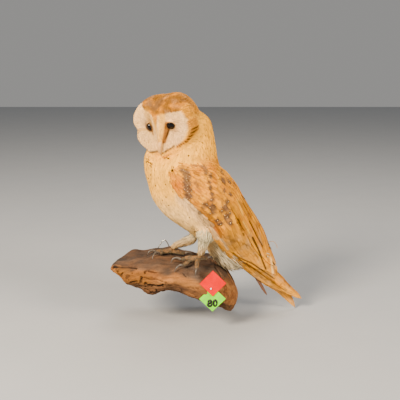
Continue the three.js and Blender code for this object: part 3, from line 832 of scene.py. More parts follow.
def body_colours(p, normal, c):
    """Ground colour, mauve share and dark share on the neck, breast, back and belly."""
    x, z = p[:, 0], p[:, 2]
    rear = step(normal[:, 0], 0.25, -0.65)
    mantle = rear * step(z, 146, 128)
    mirrored = np.abs(p * [0, 1, 0]) + p * [1, 0, 1]
    flank = step(near_line(mirrored, eased(LEADING_EDGE, np.linspace(0.2, 0.5, 9))), 16, 7)
    ground = blended(c["breast"], c["belly"], step(z, 96, 58))
    layers = [
        ("nape", 0.5 * (step(rough(p, 26, 2, 21), -0.1, 0.6) * step(z, 84, 118))),
        ("fluff", step(z, 34, 8) * step(x, -20, -50)),
        ("nape", rear * step(z, 60, 90)),
        ("covert", 0.85 * mantle * step(z, 10, 50)),
        ("edge", 0.35 * (rear * step(z, 128, 150))),
        ("face", 0.9 * flank),
    ]
    for name, share in layers:
        ground = blended(ground, c[name], share)
    mauve = mantle * step(rough(p, 15, 2, 33), 0.05, 0.35) * step(x, 4, -12)
    return ground, mauve, 0 * rear


def on_wing(path):
    """Places on a wing as points of the left one."""
    along, across = np.array(path).T
    return wing_point(along, across, 1, wing_top(along))


def wing_colours(where, p, c):
    """Ground colour, mauve share and dark share on the wings, from their own coordinates."""
    s, a = where[:, 0], where[:, 1]
    deep = bell(s - 0.44, 0.09) * step(a, 0.22, 0.05) + 0.7 * bell(s - 0.1, 0.05) * step(a, 0.32, 0.12)
    pinkish = step(rough(p, 10, 2, 47), -0.1, 0.5) * step(s, 0.45, 0.6)
    ground = blended(c["covert"], c["edge"], 0.3 + 0.5 * step(rough(p, 16, 2, 41), -0.1, 0.5))
    layers = [
        (c["ochre"] * 0.9, 0.4 * step(rough(p, 9, 2, 45), 0.1, 0.5)),
        (c["ochre"], np.clip(deep, 0, 1)),
        (c["flight"], step(s, 0.42, 0.58) * step(a, 0.62, 0.42)),
        (c["leg"] * [0.95, 0.72, 0.62], 0.45 * pinkish),
    ]
    for colour, share in layers:
        ground = blended(ground, colour, share)
    mauve = 0.8 * step(rough(p, 12, 2, 55), 0.35, 0.55) * step(s, 0.5, 0.3)
    mirrored = p * [1, -1, 1] * (p[:, 1:2] < 0) + p * (p[:, 1:2] >= 0)
    for along, across, size in WING_PATCHES:
        away = np.linalg.norm(mirrored - on_wing([(along, across)]), axis=1)
        mauve = np.maximum(mauve, step(away, size * 1.2, size * 0.6))
    ground, dark = lined(ground, mirrored, WING_LINES, c, on_wing)
    return ground, mauve * (1 - dark), dark


def leg_colours(p, c):
    """Ground colour, mauve share and dark share on the legs, browner near the toes."""
    near_toes = step(p[:, 2], 20, 4)
    ground = blended(c["leg"], c["leg"] * [0.85, 0.62, 0.42], 0.8 * near_toes)
    return ground, 0 * near_toes, 0 * near_toes


def markings(p, part, where, normal):
    """Ground colour, mauve share and dark share at any points of the owl."""
    c = colours()
    ground = np.empty((len(p), 3))
    mauve, dark = np.zeros(len(p)), np.zeros(len(p))
    painters = {
        HEAD: lambda at: head_colours(p[at], c),
        BODY: lambda at: body_colours(p[at], normal[at], c),
        WING: lambda at: wing_colours(where[at], p[at], c),
        TAIL_PART: lambda at: (c["flight"], 0, 0),
        LEG: lambda at: leg_colours(p[at], c),
    }
    for which, painter in painters.items():
        at = part == which
        if at.any():
            ground[at], mauve[at], dark[at] = painter(at)
    return ground, mauve, dark


# ---- skin ----


def under_chin(p):
    """Points of the throat, drawn back behind the face where they would stand before it."""
    q = head_from_owl(p)
    inside = inside_rim(q)
    limit = 16 + 26 * step(-inside, -6, 9)
    over = np.maximum(0, q[:, 0] - limit) * step(q[:, 2], 6, -6) * step(inside, -12, -8)
    return p - over[:, None] * HEAD_AXES[:, 0]


def flesh_forms():
    """The closed forms that the skin covers: points, faces, part and place of each."""
    size = sizes()
    coat = size["coat"]
    t, turn, faces = closed_grid(110, 140)
    points = owl_from_head(head_point(t, turn, coat, 1.2))
    forms = [(points, facing_out(points, faces), HEAD, np.stack([t, turn], -1))]
    t, turn, faces = closed_grid(110, 110)
    s = crowded(t, 0.5)
    points = under_chin(body_point(s, turn, coat))
    forms.append((points, facing_out(points, faces), BODY, np.stack([s, turn], -1)))
    for side in (1, -1):
        points, faces, where = wing_form(side, size["wing_coat"], 0.84)
        forms.append((points, faces, WING, where))
    core = np.array(TAIL, float)
    core[:, 3:] -= [1.6, 2.0]
    core[3, 3:] = [1.4, 8]
    tail_length = 0.72
    core = np.stack([eased(core, u * tail_length) for u in np.linspace(0, 1, 5)])
    forms.append((*spindle(core, cap=0.06), TAIL_PART, None))
    for leg in LEGS.values():
        for name, inset in (("thigh", 1.6), ("tarsus", 1.0)):
            stations = np.array(leg[name], float)
            stations[:, 3:] -= inset
            forms.append((*spindle(stations, cap=0.2), LEG, None))
    return forms


def smoothed(points, edges, rounds, share=0.5):
    """Points drawn towards the middle of their neighbours."""
    count = np.bincount(edges.ravel(), minlength=len(points))[:, None]
    for _ in range(rounds):
        total = np.zeros_like(points)
        for axis in range(3):
            total[:, axis] = np.bincount(edges[:, 0], points[edges[:, 1], axis], len(points))
            total[:, axis] += np.bincount(edges[:, 1], points[edges[:, 0], axis], len(points))
        points = lerp(points, total / np.maximum(count, 1), share)
    return points


def remeshed(points, faces, grain):
    """One closed skin round overlapping forms, as a mesh in the row's frame, grain in millimetres."""
    lump = bpy.data.objects.new("lump", new_mesh("lump", points, faces))
    bpy.context.scene.collection.objects.link(lump)
    modifier = lump.modifiers.new("skin", "REMESH")
    modifier.mode = "VOXEL"
    modifier.voxel_size = grain / 1000
    view = bpy.context.evaluated_depsgraph_get()
    mesh = bpy.data.meshes.new_from_object(lump.evaluated_get(view))
    bpy.data.objects.remove(lump)
    return mesh


def read_points(mesh):
    """Every point, in the row's frame and in millimetres."""
    points = np.empty(3 * len(mesh.vertices), np.float32)
    mesh.vertices.foreach_get("co", points)
    return points.reshape(-1, 3).astype(float) * 1000


def move_points(mesh, rows):
    """Gives a mesh new points, in the row's frame and in millimetres."""
    mesh.vertices.foreach_set("co", (rows / 1000).astype(np.float32).ravel())
    mesh.update()
    mesh.shade_smooth()


def read_faces(mesh):
    """Every face as triangles."""
    mesh.calc_loop_triangles()
    faces = np.empty(3 * len(mesh.loop_triangles), np.int32)
    mesh.loop_triangles.foreach_get("vertices", faces)
    return faces.reshape(-1, 3)


def read_edges(mesh):
    edges = np.empty(2 * len(mesh.edges), np.int32)
    mesh.edges.foreach_get("vertices", edges)
    return edges.reshape(-1, 2)


def corner_normals(points, faces):
    """A smooth normal at each point."""
    a, b, c = (points[faces[:, k]] for k in range(3))
    face_normal = np.cross(b - a, c - a)
    total = np.zeros_like(points)
    for axis in range(3):
        for corner in faces.T:
            total[:, axis] += np.bincount(corner, face_normal[:, axis], len(points))
    return unit(total)


# What the skin says where a feather says how far along and across it a point lies, and its luck of the draw.
SKIN_AS_FEATHER = {"along": 0.5, "across": 0.0, "chance": 0.5, "speck": 0.0, "bars": 0.0}


def make_skin():
    """The skin as one closed mesh, painted, with the part and place that each point belongs to."""
    forms = flesh_forms()
    points, faces = stacked(forms)
    mesh = remeshed(row_from_owl(points), faces, sizes()["voxel"])
    rows = smoothed(read_points(mesh), read_edges(mesh), 6)
    skin = owl_from_row(rows)

    triangles = fans(faces)
    part_of = np.concatenate([np.full(len(form[0]), form[2]) for form in forms])
    where = np.concatenate([np.zeros((len(form[0]), 2)) if form[3] is None else form[3] for form in forms])
    tree = BVHTree.FromPolygons(points.tolist(), triangles.tolist())
    found = np.array([tree.find_nearest(Vector(p))[2] for p in skin])
    source = triangles[found][:, 0]
    part, where = part_of[source], where[source]
    normal = corner_normals(skin, read_faces(mesh))

    move_points(mesh, row_from_owl(skin))
    ground, mauve, dark = markings(skin, part, where, normal)
    values = {"ground": ground, "mauve": mauve, "dark": dark, "part": part}
    values.update(s=where[:, 0], a=where[:, 1])
    for name, value in SKIN_AS_FEATHER.items():
        values[name] = np.full(len(skin), value)
    note(mesh, values)
    return mesh


class Coat:
    """The finished skin as a surface that feathers are laid on, in the owl's own frame."""

    def __init__(self):
        mesh = bpy.data.objects["owl_skin"].data
        self.points = owl_from_row(read_points(mesh))
        self.faces = read_faces(mesh)
        self.normals = corner_normals(self.points, self.faces)
        self.part, self.s, self.a = [self.read(mesh, name) for name in ("part", "s", "a")]
        self.part = self.part.astype(int)
        self.tree = BVHTree.FromPolygons(self.points.tolist(), self.faces.tolist())

    @staticmethod
    def read(mesh, name):
        values = np.empty(len(mesh.vertices), np.float32)
        mesh.attributes[name].data.foreach_get("value", values)
        return values

    def nearest(self, points):
        """The nearest points of the skin, their smooth normals and a corner of the faces they lie in."""
        found = [self.tree.find_nearest(Vector(p)) for p in points]
        spots = np.array([hit[0] for hit in found])
        corners = self.faces[[hit[2] for hit in found]]
        near = 1 / (np.linalg.norm(self.points[corners] - spots[:, None], axis=2) + 0.05)
        normals = unit(np.sum(self.normals[corners] * near[..., None], axis=1))
        return spots, normals, corners[:, 0]

    def scatter(self, mask, spacing, seed):
        """Points spread over the masked corners' faces, about spacing apart, with corners near them."""
        draw = np.random.default_rng(seed)
        faces = self.faces[mask[self.faces].all(axis=1)]
        a, b, c = (self.points[faces[:, k]] for k in range(3))
        area = 0.5 * np.linalg.norm(np.cross(b - a, c - a), axis=1)
        count = int(5 * area.sum() / spacing**2)
        chosen = draw.choice(len(faces), count, p=area / area.sum())
        u, v = draw.random((2, count))
        u, v = np.where(u + v > 1, 1 - u, u)[:, None], np.where(u + v > 1, 1 - v, v)[:, None]
        points = a[chosen] + u * (b - a)[chosen] + v * (c - a)[chosen]
        keep = spread_out(points, np.full(count, spacing))
        return points[keep], faces[chosen[keep], 0]

    def march(self, roots, lie, lengths, stations):
        """Lines of stations that start at the roots and run over the skin as lie(points, normals) points."""
        points, normals, _ = self.nearest(roots)
        lines, ups = [points], [normals]
        for _ in range(stations - 1):
            way = lie(points, normals)
            way = unit(way - dot(way, normals) * normals)
            points, normals, _ = self.nearest(points + way * (lengths / (stations - 1))[:, None])
            lines.append(points)
            ups.append(normals)
        return np.stack(lines, 1), np.stack(ups, 1)


@functools.cache
def the_coat():
    """The skin as feathers see it, read once."""
    return Coat()


def spread_out(points, spacings):
    """Indices of points of which no two are nearer than their spacings, the earlier ones first."""
    cell = spacings.max()
    keys = np.floor(points / cell).astype(int)
    taken, kept = {}, []
    around = [(i, j, k) for i in (-1, 0, 1) for j in (-1, 0, 1) for k in (-1, 0, 1)]
    for index, (key, point, gap) in enumerate(zip(keys.tolist(), points.tolist(), spacings.tolist())):
        cells = ((key[0] + i, key[1] + j, key[2] + k) for i, j, k in around)
        others = (other for cell_key in cells for other in taken.get(cell_key, ()))
        if all(sum((x - y) ** 2 for x, y in zip(point, other)) >= gap * gap for other in others):
            taken.setdefault(tuple(key), []).append(point)
            kept.append(index)
    return np.array(kept)


# ---- feathers ----


def ring_faces(forms, stations, ring):
    """Faces of forms that are each a row of rings, closed at both ends."""
    first = np.arange(forms)[:, None, None] * stations * ring
    first = first + np.arange(stations - 1)[None, :, None] * ring
    k = np.arange(ring)[None, None]
    following = (k + 1) % ring
    sides = np.stack([first + k, first + following, first + ring + following, first + ring + k], -1)
    start = np.arange(forms)[:, None] * stations * ring
    root = start + np.arange(ring)[::-1]
    tip = start + (stations - 1) * ring + np.arange(ring)
    return [sides.reshape(-1, 4), root, tip]


def along_line(lines, share):
    """Each line's stations, squeezed into the first share of its length."""
    count = lines.shape[1]
    at = np.arange(count)[None] * share[:, None]
    low = np.minimum(at.astype(int), count - 2)
    rows = np.arange(len(lines))[:, None]
    return lines[rows, low] + (lines[rows, low + 1] - lines[rows, low]) * (at - low)[..., None]


def blades(line, up, half_width, depth, profile):
    """Thin closed blades along lines: three corners to a station, left, top and right."""
    tangent = unit(np.gradient(line, axis=1))
    side = unit(np.cross(up, tangent))
    wide = (half_width[:, None] * np.asarray(profile)[None])[..., None]
    deep = (depth * np.asarray(profile)[None, :, None])
    return np.stack([line - side * wide, line + up * deep, line + side * wide], axis=2)


def tufts(coat, roots, corner, lie, look, seed):
    """Tufts of blades from roots on the skin. look gives length, blades, width, lift, fan and depth."""
    draw = np.random.default_rng(seed)
    count = len(roots)
    stations = look.get("stations", 4)
    scale = look["scale"](roots) if "scale" in look else 1
    length = look["length"] * draw.uniform(0.8, 1.15, count) * scale
    line, up = coat.march(roots, lie, length, stations)
    steps = np.diff(line, axis=1)
    straight = np.linalg.norm(steps.sum(1), axis=1) / (np.linalg.norm(steps, axis=2).sum(1) + 1e-9)
    laid = (straight > 0.93) & (np.linalg.norm(steps.sum(1), axis=1) > 0.6 * length)
    line, up, length, corner, count = line[laid], up[laid], length[laid], corner[laid], laid.sum()
    share = np.linspace(0, 1, stations)
    number = look["blades"]
    line, up = np.repeat(line, number, 0), np.repeat(up, number, 0)
    total = count * number
    reach = draw.uniform(0.72, 1.0, total)
    line, up = along_line(line, reach), unit(along_line(up, reach))
    side = unit(np.cross(up, np.gradient(line, axis=1)))
    fan = np.tile(np.linspace(-1, 1, number), count) + draw.normal(0, 0.25, total)
    spread = look["fan"] * np.repeat(length, number)
    rise = look["lift"] * np.repeat(length, number) * draw.uniform(0.55, 1.35, total)
    rise = rise * (1 - 0.35 * np.abs(fan))
    line = line + side * (fan * spread)[:, None, None] * (0.25 + 0.75 * share[None, :, None])
    curl = look.get("curl", 1.0)
    line = line + up * (0.15 + rise[:, None, None] * share[None, :, None] ** curl)
    width = look["width"] * draw.uniform(0.75, 1.2, total)
    profile = look.get("profile", np.interp(share, [0, 0.35, 0.75, 1], [0.75, 1, 0.8, 0.12]))
    points = blades(line, up, width / 2, look.get("depth", 0.25), profile)
    shape = (total, stations, 3)
    side, tilt = unit(side)[:, :, None], 0.1 + 2 * look["lift"]
    roll = np.array([-1, 0, 1])[:, None] + 0.8 * draw.normal(0, 1, (total, 1, 1, 1))
    nod = 0.5 * tilt * draw.normal(0, 1, (total, 1, 1, 1))
    splay = roll * tilt * side + nod * unit(np.gradient(line, axis=1))[:, :, None]
    values = {
        "along": np.broadcast_to(share[None, :, None] * reach[:, None, None], shape),
        "across": np.broadcast_to(np.array([-1, 0, 1.0])[None, None] * 0.5, shape),
        "chance": np.broadcast_to(np.repeat(draw.random(count), number)[:, None, None], shape),
        "speck": np.broadcast_to((draw.random(total) < look.get("specks", 0))[:, None, None], shape),
    }
    return {
        "points": points, "faces": ring_faces(total, stations, 3), "values": values, "spots": line,
        "corner": np.repeat(corner, number), "up": up[:, 0], "shape": shape, "facing": up[:, :, None] + splay,
    }


def plume_piece(name, form):
    """One piece of plumage, painted by where it lies, with its map for baking."""
    total, stations, ring = form["shape"]
    points = form["points"].reshape(-1, 3)
    mesh = new_mesh(name, row_from_owl(points), facing_out(points, form["faces"]))
    if "part" in form:
        part, root, places = form["part"], form["where"], form["places"]
    else:
        coat, corner = the_coat(), form["corner"]
        part, where = coat.part[corner], np.stack([coat.s[corner], coat.a[corner]], -1)
        root, places = root_places(part, where), np.repeat(where[:, None], stations, 1)
    spots, ups = form["spots"].reshape(-1, 3), np.repeat(form["up"], stations, 0)
    found = markings(spots, np.repeat(part, stations), places.reshape(-1, 2), ups)
    values = {key: value.reshape(-1).astype(float) for key, value in form["values"].items()}
    for key, value in zip(("ground", "mauve", "dark"), found):
        values[key] = np.repeat(value, ring, 0)
    note(mesh, {**values, "bars": np.zeros(len(points))})
    patch = np.stack([form["values"]["across"], form["values"]["along"]], -1).reshape(total, -1, 2)
    spread = (root[:, None] + 0.0015 * patch * [1, 2]).reshape(-1, 2)
    low, high = spread.min(0), spread.max(0)
    lay_map(mesh, "OFBake", 0.002 + 0.996 * (spread - low) / (high - low))
    facing = unit(form["facing"]).reshape(-1, 3) @ OWL_AXES.T
    mesh.normals_split_custom_set_from_vertices(facing.astype(np.float32))
    place(name, mesh, coat_finish())


def root_places(part, where):
    """A root's place on a plain unwrap of the skin: the head as a disc, the rest as rolled-out sheets."""
    disc = 0.5 + 0.5 * where[:, :1] * np.stack([np.cos(where[:, 1]), np.sin(where[:, 1])], -1)
    sheet = np.stack([np.mod(where[:, 1] / (2 * np.pi) + 0.25, 1), where[:, 0]], -1)
    return np.where((part == HEAD)[:, None], disc, sheet)


def owl_direction(p, q):
    """The direction q of the head's frame, in the owl's."""
    return np.broadcast_to(np.asarray(q, float) @ HEAD_AXES.T, p.shape)


def lie_of_coat(p, normals):
    """The way that the plumage runs: back over the head, down the neck and breast, back along the belly."""
    levels = [-40, 0, 40, 80, 120, 200]
    ways = np.array([[-0.9, -0.5], [-0.85, -0.6], [-0.6, -0.9], [-0.35, -1], [-0.1, -1], [-0.1, -1]])
    ahead, down = (np.interp(p[:, 2], levels, way) for way in ways.T)
    body = np.stack([ahead, 0 * ahead, down], -1)
    q = head_from_owl(p)
    on_head = step(np.linalg.norm(q, axis=1), 52, 44)[:, None]
    over = owl_direction(p, [-1, 0, -0.5])
    return lerp(body, over, on_head) + 0.12 * noise(p, 18, 3)[:, None] * [0, 1, 0]


def lie_of_face(p, normals):
    """Outwards from each eye, and down along the ridge."""
    q = head_from_owl(p)
    away = np.stack([0 * q[:, 0], q[:, 1] - np.sign(q[:, 1]) * EYE_SIDE, q[:, 2] - EYE_HEIGHT], -1)
    ridge = bell(q[:, 1], 6)[:, None] * step(-q[:, 2], -24, -8)[:, None]
    away = lerp(unit(away), [0.2, 0, -1.0], ridge)
    return away @ HEAD_AXES.T


def face_inside(p):
    """How far inside the face's rim points lie, and the points in the head's frame."""
    q = head_from_owl(p)
    return inside_rim(q), q


# ---- the finish of skin and plumage ----


# How many ridges a feather shows along its length.
BARBS = 26


def plumage_finish(name):
    finish = Finish(name, roughness=0.85, specular=0.06)
    c = colours()
    ground, mauve, dark = finish.kept("ground", "Color"), finish.kept("mauve"), finish.kept("dark")
    along, across, chance = finish.kept("along"), finish.kept("across"), finish.kept("chance")
    speck, bars = finish.kept("speck"), finish.kept("bars")
    fine = finish.lumps(0.9, 3.0)
    broad = finish.lumps(7.0, 3.0)
    freckles = fine.step(0.42, 0.62)
    grey = finish.mix(freckles, tuple(c["mauve"] * 0.62), tuple(c["mauve"] * 1.22))
    colour = finish.mix(mauve * (0.75 + 0.25 * broad), ground, grey)
    reach = ((across * 2.6) ** 2.0 + ((along - 0.8) * 8.5) ** 2.0).root()
    dotted = mauve.step(0.4, 0.6) * chance.step(0.25, 0.3)
    colour = finish.mix(reach.step(1.35, 0.9) * dotted * 0.95, colour, tuple(c["bar"] * 0.5))
    colour = finish.mix(reach.step(0.6, 0.35) * dotted, colour, tuple(c["face"]))
    dot_spot = finish.lumps(3.4, 0.0).step(0.75, 0.79) * speck
    colour = finish.mix(dot_spot * 0.9, colour, tuple(c["bar"] * 0.7))
    # Dark marks, and painted shadows between the wing's feathers.
    colour = finish.mix(dark * 0.9, colour, tuple(c["bar"] * 0.75))
    band = ((along * 30.0 + 1.5 * broad).sine()).step(0.72, 0.95) * bars * along.step(0.15, 0.3)
    colour = finish.mix(band * 0.75, colour, tuple(c["bar"]))
    # Random tone per blade and in broad lumps, with painted shade: darker towards each blade's root and along
    # its edges near the root, where the blades overlap.
    tone_and_root_shade = (0.84 + 0.26 * chance) * (0.86 + 0.26 * broad) * (0.74 + 0.28 * along.step(0.0, 0.5))
    colour = finish.shade(colour, tone_and_root_shade * (1.02 - 0.3 * abs(across).step(0.32, 0.5) * along.step(0.9, 0.5)))
    finish.put(base_color=colour)
    strands = ((along + abs(across) * 0.4) * (BARBS * 6.28)).sine()
    finish.relief(0.5 * fine + 0.5 * strands, 0.1, 0.35)
    return finish.material


def shared(name, maker):
    """A material that several pieces wear, made once."""
    label = name + "_finish"
    return bpy.data.materials.get(label) or maker(label)


def coat_finish():
    return shared("plumage", plumage_finish)


# ---- the operators' work ----


def dress_skin():
    mesh = make_skin()
    replaced = ["head", "neck", "trunk", "tail"]
    replaced += [f"{part}_{side}" for part in ("wing", "primaries", "thigh", "tarsus") for side in LEGS]
    place("owl_skin", mesh, coat_finish(), replaced)


def lie_of_rim(p, normals):
    """Outwards from the middle of the face."""
    q = head_from_owl(p)
    return unit(np.stack([0 * q[:, 0] + 0.3, q[:, 1], q[:, 2]], -1)) @ HEAD_AXES.T


def lie_of_leg(p, normals):
    """Down the legs, and forward along the one that reaches out."""
    right = p[:, 1:2] < 0
    low = step(p[:, 2:3], 26, 12)
    down, forward = np.array([0.2, 0, -1.0]), np.array([1.0, -0.1, -0.35])
    return np.where(right, lerp(down, forward, low), down) + 0.15 * normals


def coat_tract(name, mask, spacing, seed, look, lie=lie_of_coat):
    """Lays one tract of the plumage over the masked corners of the skin."""
    coat = the_coat()
    roots, corner = coat.scatter(mask, spacing, seed)
    plume_piece(name, tufts(coat, roots, corner, lie, look, seed + 1))


def dress_face():
    coat = the_coat()
    inside, q = face_inside(coat.points)
    head = coat.part == HEAD
    disc = {
        "length": sizes()["face_feather"], "blades": 2, "width": 1.0, "lift": 0.1, "fan": 0.12, "depth": 0.1,
        "scale": lambda roots: lerp(0.5, 1.0, step(from_eye(roots), 5, 14)), "stations": 3,
    }
    mask = head & (inside > 0) & (q[:, 0] > 12) & (from_eye(coat.points) > 4.4)
    coat_tract("face_feathers", mask, 1.35, 11, disc, lie_of_face)
    rim = {"length": 3.6, "blades": 2, "width": 1.0, "lift": 0.3, "fan": 0.1, "depth": 0.15, "stations": 4}
    mask = head & (np.abs(inside + 0.5) < 2.2) & (q[:, 0] > 6)
    coat_tract("face_rim", mask, 1.35, 13, rim, lie_of_rim)


def dress_body():
    coat = the_coat()
    size = sizes()
    inside, q = face_inside(coat.points)
    x, z = coat.points[:, 0], coat.points[:, 2]
    off_face = (inside < -0.5) | (q[:, 0] < 8)
    crown = {
        "length": size["crown_feather"], "blades": 4, "width": 1.5, "lift": 0.06, "fan": 0.17, "depth": 0.1,
        "curl": 0.7,
    }
    coat_tract("crown_feathers", (coat.part == HEAD) & off_face, 2.7, 21, crown)
    body = coat.part == BODY
    breast = {
        "length": size["breast_feather"], "blades": 6, "width": 2.1, "lift": 0.03, "fan": 0.15, "depth": 0.1,
        "curl": 0.6, "specks": 1,
    }
    coat_tract("breast_feathers", body & (z > 62), 4.0, 31, breast)
    belly = {
        "length": 17, "blades": 6, "width": 1.9, "lift": 0.055, "fan": 0.18, "depth": 0.1, "curl": 0.8,
        "specks": 1,
    }
    coat_tract("belly_feathers", body & (z <= 64) & (z > -8), 4.6, 41, belly)
    fluff = {
        "length": 20, "blades": 7, "width": 1.1, "lift": 0.24, "fan": 0.24, "depth": 0.25, "curl": 1.4,
        "stations": 5,
    }
    coat_tract("undertail_down", body & (z < 26) & (x < -26), 5.4, 51, fluff)
    leg = {"length": 8, "blades": 4, "width": 0.9, "lift": 0.26, "fan": 0.2, "depth": 0.15}
    coat_tract("leg_feathers", coat.part == LEG, 2.6, 61, leg, lie_of_leg)


# ---- wings and tail ----


def wing_height(s, a, inset):
    """How far the skin's outer side stands off the wing's middle surface."""
    round_over = np.sqrt(np.clip(1 - (2 * a - 1) ** 2, 0, 1))
    return np.maximum(wing_top(s) - inset, 0.4) * round_over


def wing_step(s, a, side):
    """Millimetres of surface to one unit of s, and to one unit of a."""
    d = 1e-3
    here = wing_point(s, a, side)
    return (
        np.linalg.norm(wing_point(s + d, a, side) - here, axis=-1) / d,
        np.linalg.norm(wing_point(s, a + d, side) - here, axis=-1) / d,
    )


def vane(centre, up, half_width, depth, camber, notches):
    """Closed vanes along lines: four corners to a station, left edge, top, right edge and underside."""
    side = unit(np.cross(up, unit(np.gradient(centre, axis=1))))
    wide = half_width[..., None]
    left, right = half_width * notches[0], half_width * notches[1]
    drop = up * (camber * wide)
    return np.stack([
        centre - side * left[..., None] - drop, centre + up * depth[..., None],
        centre + side * right[..., None] - drop, centre - up * 0.3 * depth[..., None] - 0.6 * drop,
    ], axis=2)


def wing_coverts(side, seed):
    """Overlapping vanes over the shoulder and forearm, small at the bend and longer towards the tip."""
    draw = np.random.default_rng(seed)
    count = 16000
    s, a = draw.uniform(0.0, 0.62, count), draw.uniform(0.0, 1.0, count)
    size = lerp(8.5, 21, step(s, 0.02, 0.55)) * lerp(0.75, 1.0, step(a, 0.0, 0.25))
    points = wing_point(s, a, side)
    keep = spread_out(points, 0.36 * size)
    s, a, size = s[keep], a[keep], size[keep]
    count = len(s)
    stations = 7
    share = np.linspace(0, 1, stations)
    reach = size * draw.uniform(0.9, 1.15, count)
    per_s, per_a = wing_step(s, a, side)
    drift = draw.normal(0, 0.9, count) / per_a
    line_s = s[:, None] + (reach / per_s)[:, None] * share
    line_a = np.clip(a[:, None] + drift[:, None] * share, -0.02, 1.02)
    inset = sizes()["wing_coat"]
    lift = draw.uniform(0.5, 1.1, count)[:, None] * (0.15 + 1.1 * share**0.6)
    line = wing_point(line_s, line_a, side, wing_height(line_s, line_a, inset) + lift)
    beside = wing_point(line_s, line_a + 0.01, side, wing_height(line_s, line_a + 0.01, inset) + lift)
    up = unit(np.cross(np.gradient(line, axis=1), beside - line))
    up *= np.sign(up[..., 1:2] * side + 1e-9)
    outline = np.interp(share, [0, 0.15, 0.45, 0.7, 0.88, 1], [0.35, 0.75, 1, 0.98, 0.7, 0.22])
    half = (0.27 * size * draw.uniform(0.85, 1.15, count))[:, None] * outline
    notches = 1 - 0.3 * (draw.random((2, count, stations)) < 0.16)
    depth = np.broadcast_to(0.32 * outline, half.shape)
    points = vane(line, up, half, depth, 0.16, notches)
    shape = (count, stations, 4)
    tangent = unit(np.gradient(line, axis=1))
    splay = np.array([-1, 0, 1, 0])[None, None, :, None] * unit(np.cross(up, tangent))[:, :, None]
    lean = draw.normal(0, 0.12, (2, count, 1, 1, 1))
    nod = (lean[1] + 0.25 * share[:, None, None]) * tangent[:, :, None]
    facing = up[:, :, None] + 0.35 * splay + lean[0] * splay[:, :, 2:3] + nod
    return {
        "points": points, "faces": ring_faces(count, stations, 4), "up": up[:, 0], "shape": shape,
        "facing": facing,
        "part": np.full(count, WING), "where": np.stack([line_s[:, 4], line_a[:, 4]], -1), "spots": line,
        "places": np.stack([line_s, line_a], -1),
        "values": {
            "along": np.broadcast_to(share[None, :, None], shape),
            "across": np.broadcast_to(np.array([-1, 0, 1, 0.0]), shape),
            "chance": np.broadcast_to(draw.random(count)[:, None, None], shape),
            "speck": np.zeros(shape),
        },
    }


# The long feathers of a wing, in groups laid from the lowest: number, where the first and the last start
# and end (s, a), half width, height, tilt and the strength of the bars.
FLIGHT_GROUPS = [
    ("primary", 8, (0.52, 0.03), (0.62, 0.62), (0.90, 0.0), (1.0, 0.5), 8.5, 0.1, 0.8, 0.45),
    ("secondary", 6, (0.40, 0.06), (0.42, 0.60), (0.70, 0.10), (0.84, 0.55), 11.0, 0.8, 0.8, 0.3),
    ("tertial", 5, (0.30, 0.56), (0.34, 0.97), (0.72, 0.62), (0.80, 0.92), 10.0, 1.6, 0.9, 0.2),
]


def long_feathers(side, seed):
    """The flight feathers of one folded wing, as shingled vanes that follow the wing's own surface."""
    draw = np.random.default_rng(seed)
    inset = sizes()["wing_coat"]
    forms = []
    stations, columns = 60, 17
    t = np.linspace(0, 1, stations)
    x = np.linspace(-1, 1, columns)
    for name, number, first, last, first_tip, last_tip, half, height, tilt, bars in FLIGHT_GROUPS:
        for k in range(number):
            u = k / (number - 1)
            start = lerp(np.array(first), np.array(last), u) + draw.normal(0, 0.012, 2)
            tip_a = lerp(first_tip[1], last_tip[1], u) + draw.normal(0, 0.018)
            staggered = u if name != "primary" else 1 - abs(u - 0.55) / 0.62
            tip_s = lerp(first_tip[0], last_tip[0], np.clip(staggered, 0, 1))
            tip_s = tip_s + draw.normal(0, 0.012) * (name != "primary")
            s = lerp(start[0], tip_s, t)
            middle = lerp(start[1], tip_a, t**1.1)
            per_a = wing_step(s, np.clip(middle, 0, 1), side)[1]
            outline = np.interp(t, [0, 0.06, 0.3, 0.8, 0.93, 0.98, 1], [0.45, 0.75, 1, 0.9, 0.6, 0.3, 0.06])
            ragged = 1 - 0.12 * (draw.random((stations, columns)) < 0.07) * (np.abs(x) > 0.9)
            offset = x[None] * (half * outline)[:, None] * ragged
            line_s = s[:, None] + 0.004 * (1 - x[None] ** 2) * step(t, 0.85, 1)[:, None]
            line_a = middle[:, None] + offset / np.maximum(per_a, 8)[:, None]
            rachis = 0.28 * bell(x, 0.12)[None] * (1 - 0.7 * t)[:, None]
            wave = 0.16 * np.sin(17 * t[:, None] + 5 * x[None] + 3 * k) * np.abs(x[None])
            lift = height + tilt * (-0.5 * x[None]) * (0.4 + 0.6 * outline)[:, None] + rachis + wave
            lift = lift * step(t, 0.0, 0.12)[:, None] + 0.35 * step(t, 0.6, 1)[:, None] * (name != "primary")
            base = wing_height(line_s, np.clip(line_a, 0, 1), inset)
            top = wing_point(line_s, line_a, side, base + lift)
            under = wing_point(line_s, line_a, side, base + lift - 0.32 * (1 - 0.85 * np.abs(x[None])) - 0.06)
            forms.append(sheet_form(top, under, t, x, draw, side, (name, line_s, line_a, bars)))
    return forms


def sheet_form(top, under, t, x, draw, side, facts):
    """A closed vane from its upper and under surfaces, with what its finish reads."""
    stations, columns = len(t), len(x)
    ring = 2 * columns
    points = np.concatenate([top, under[:, ::-1]], axis=1)[None]
    name, line_s, line_a, bars = facts
    shape = (1, stations, ring)
    across = np.concatenate([x, x[::-1]])
    places = np.stack([line_s, line_a], -1)
    places = np.concatenate([places, places[:, ::-1]], axis=1)
    up = unit(np.cross(np.gradient(top[:, columns // 2], axis=0), top[:, -1] - top[:, 0]))
    up *= np.sign(up[:, 1:2] * side + 1e-9)
    return {
        "points": points, "faces": ring_faces(1, stations, ring), "shape": shape, "name": name,
        "places": places.reshape(-1, 2), "up": np.repeat(up, ring, 0), "bars": bars,
        "values": {
            "along": np.broadcast_to(t[None, :, None], shape), "across": np.broadcast_to(across, shape),
            "chance": np.full(shape, draw.random()), "speck": np.zeros(shape),
        },
    }


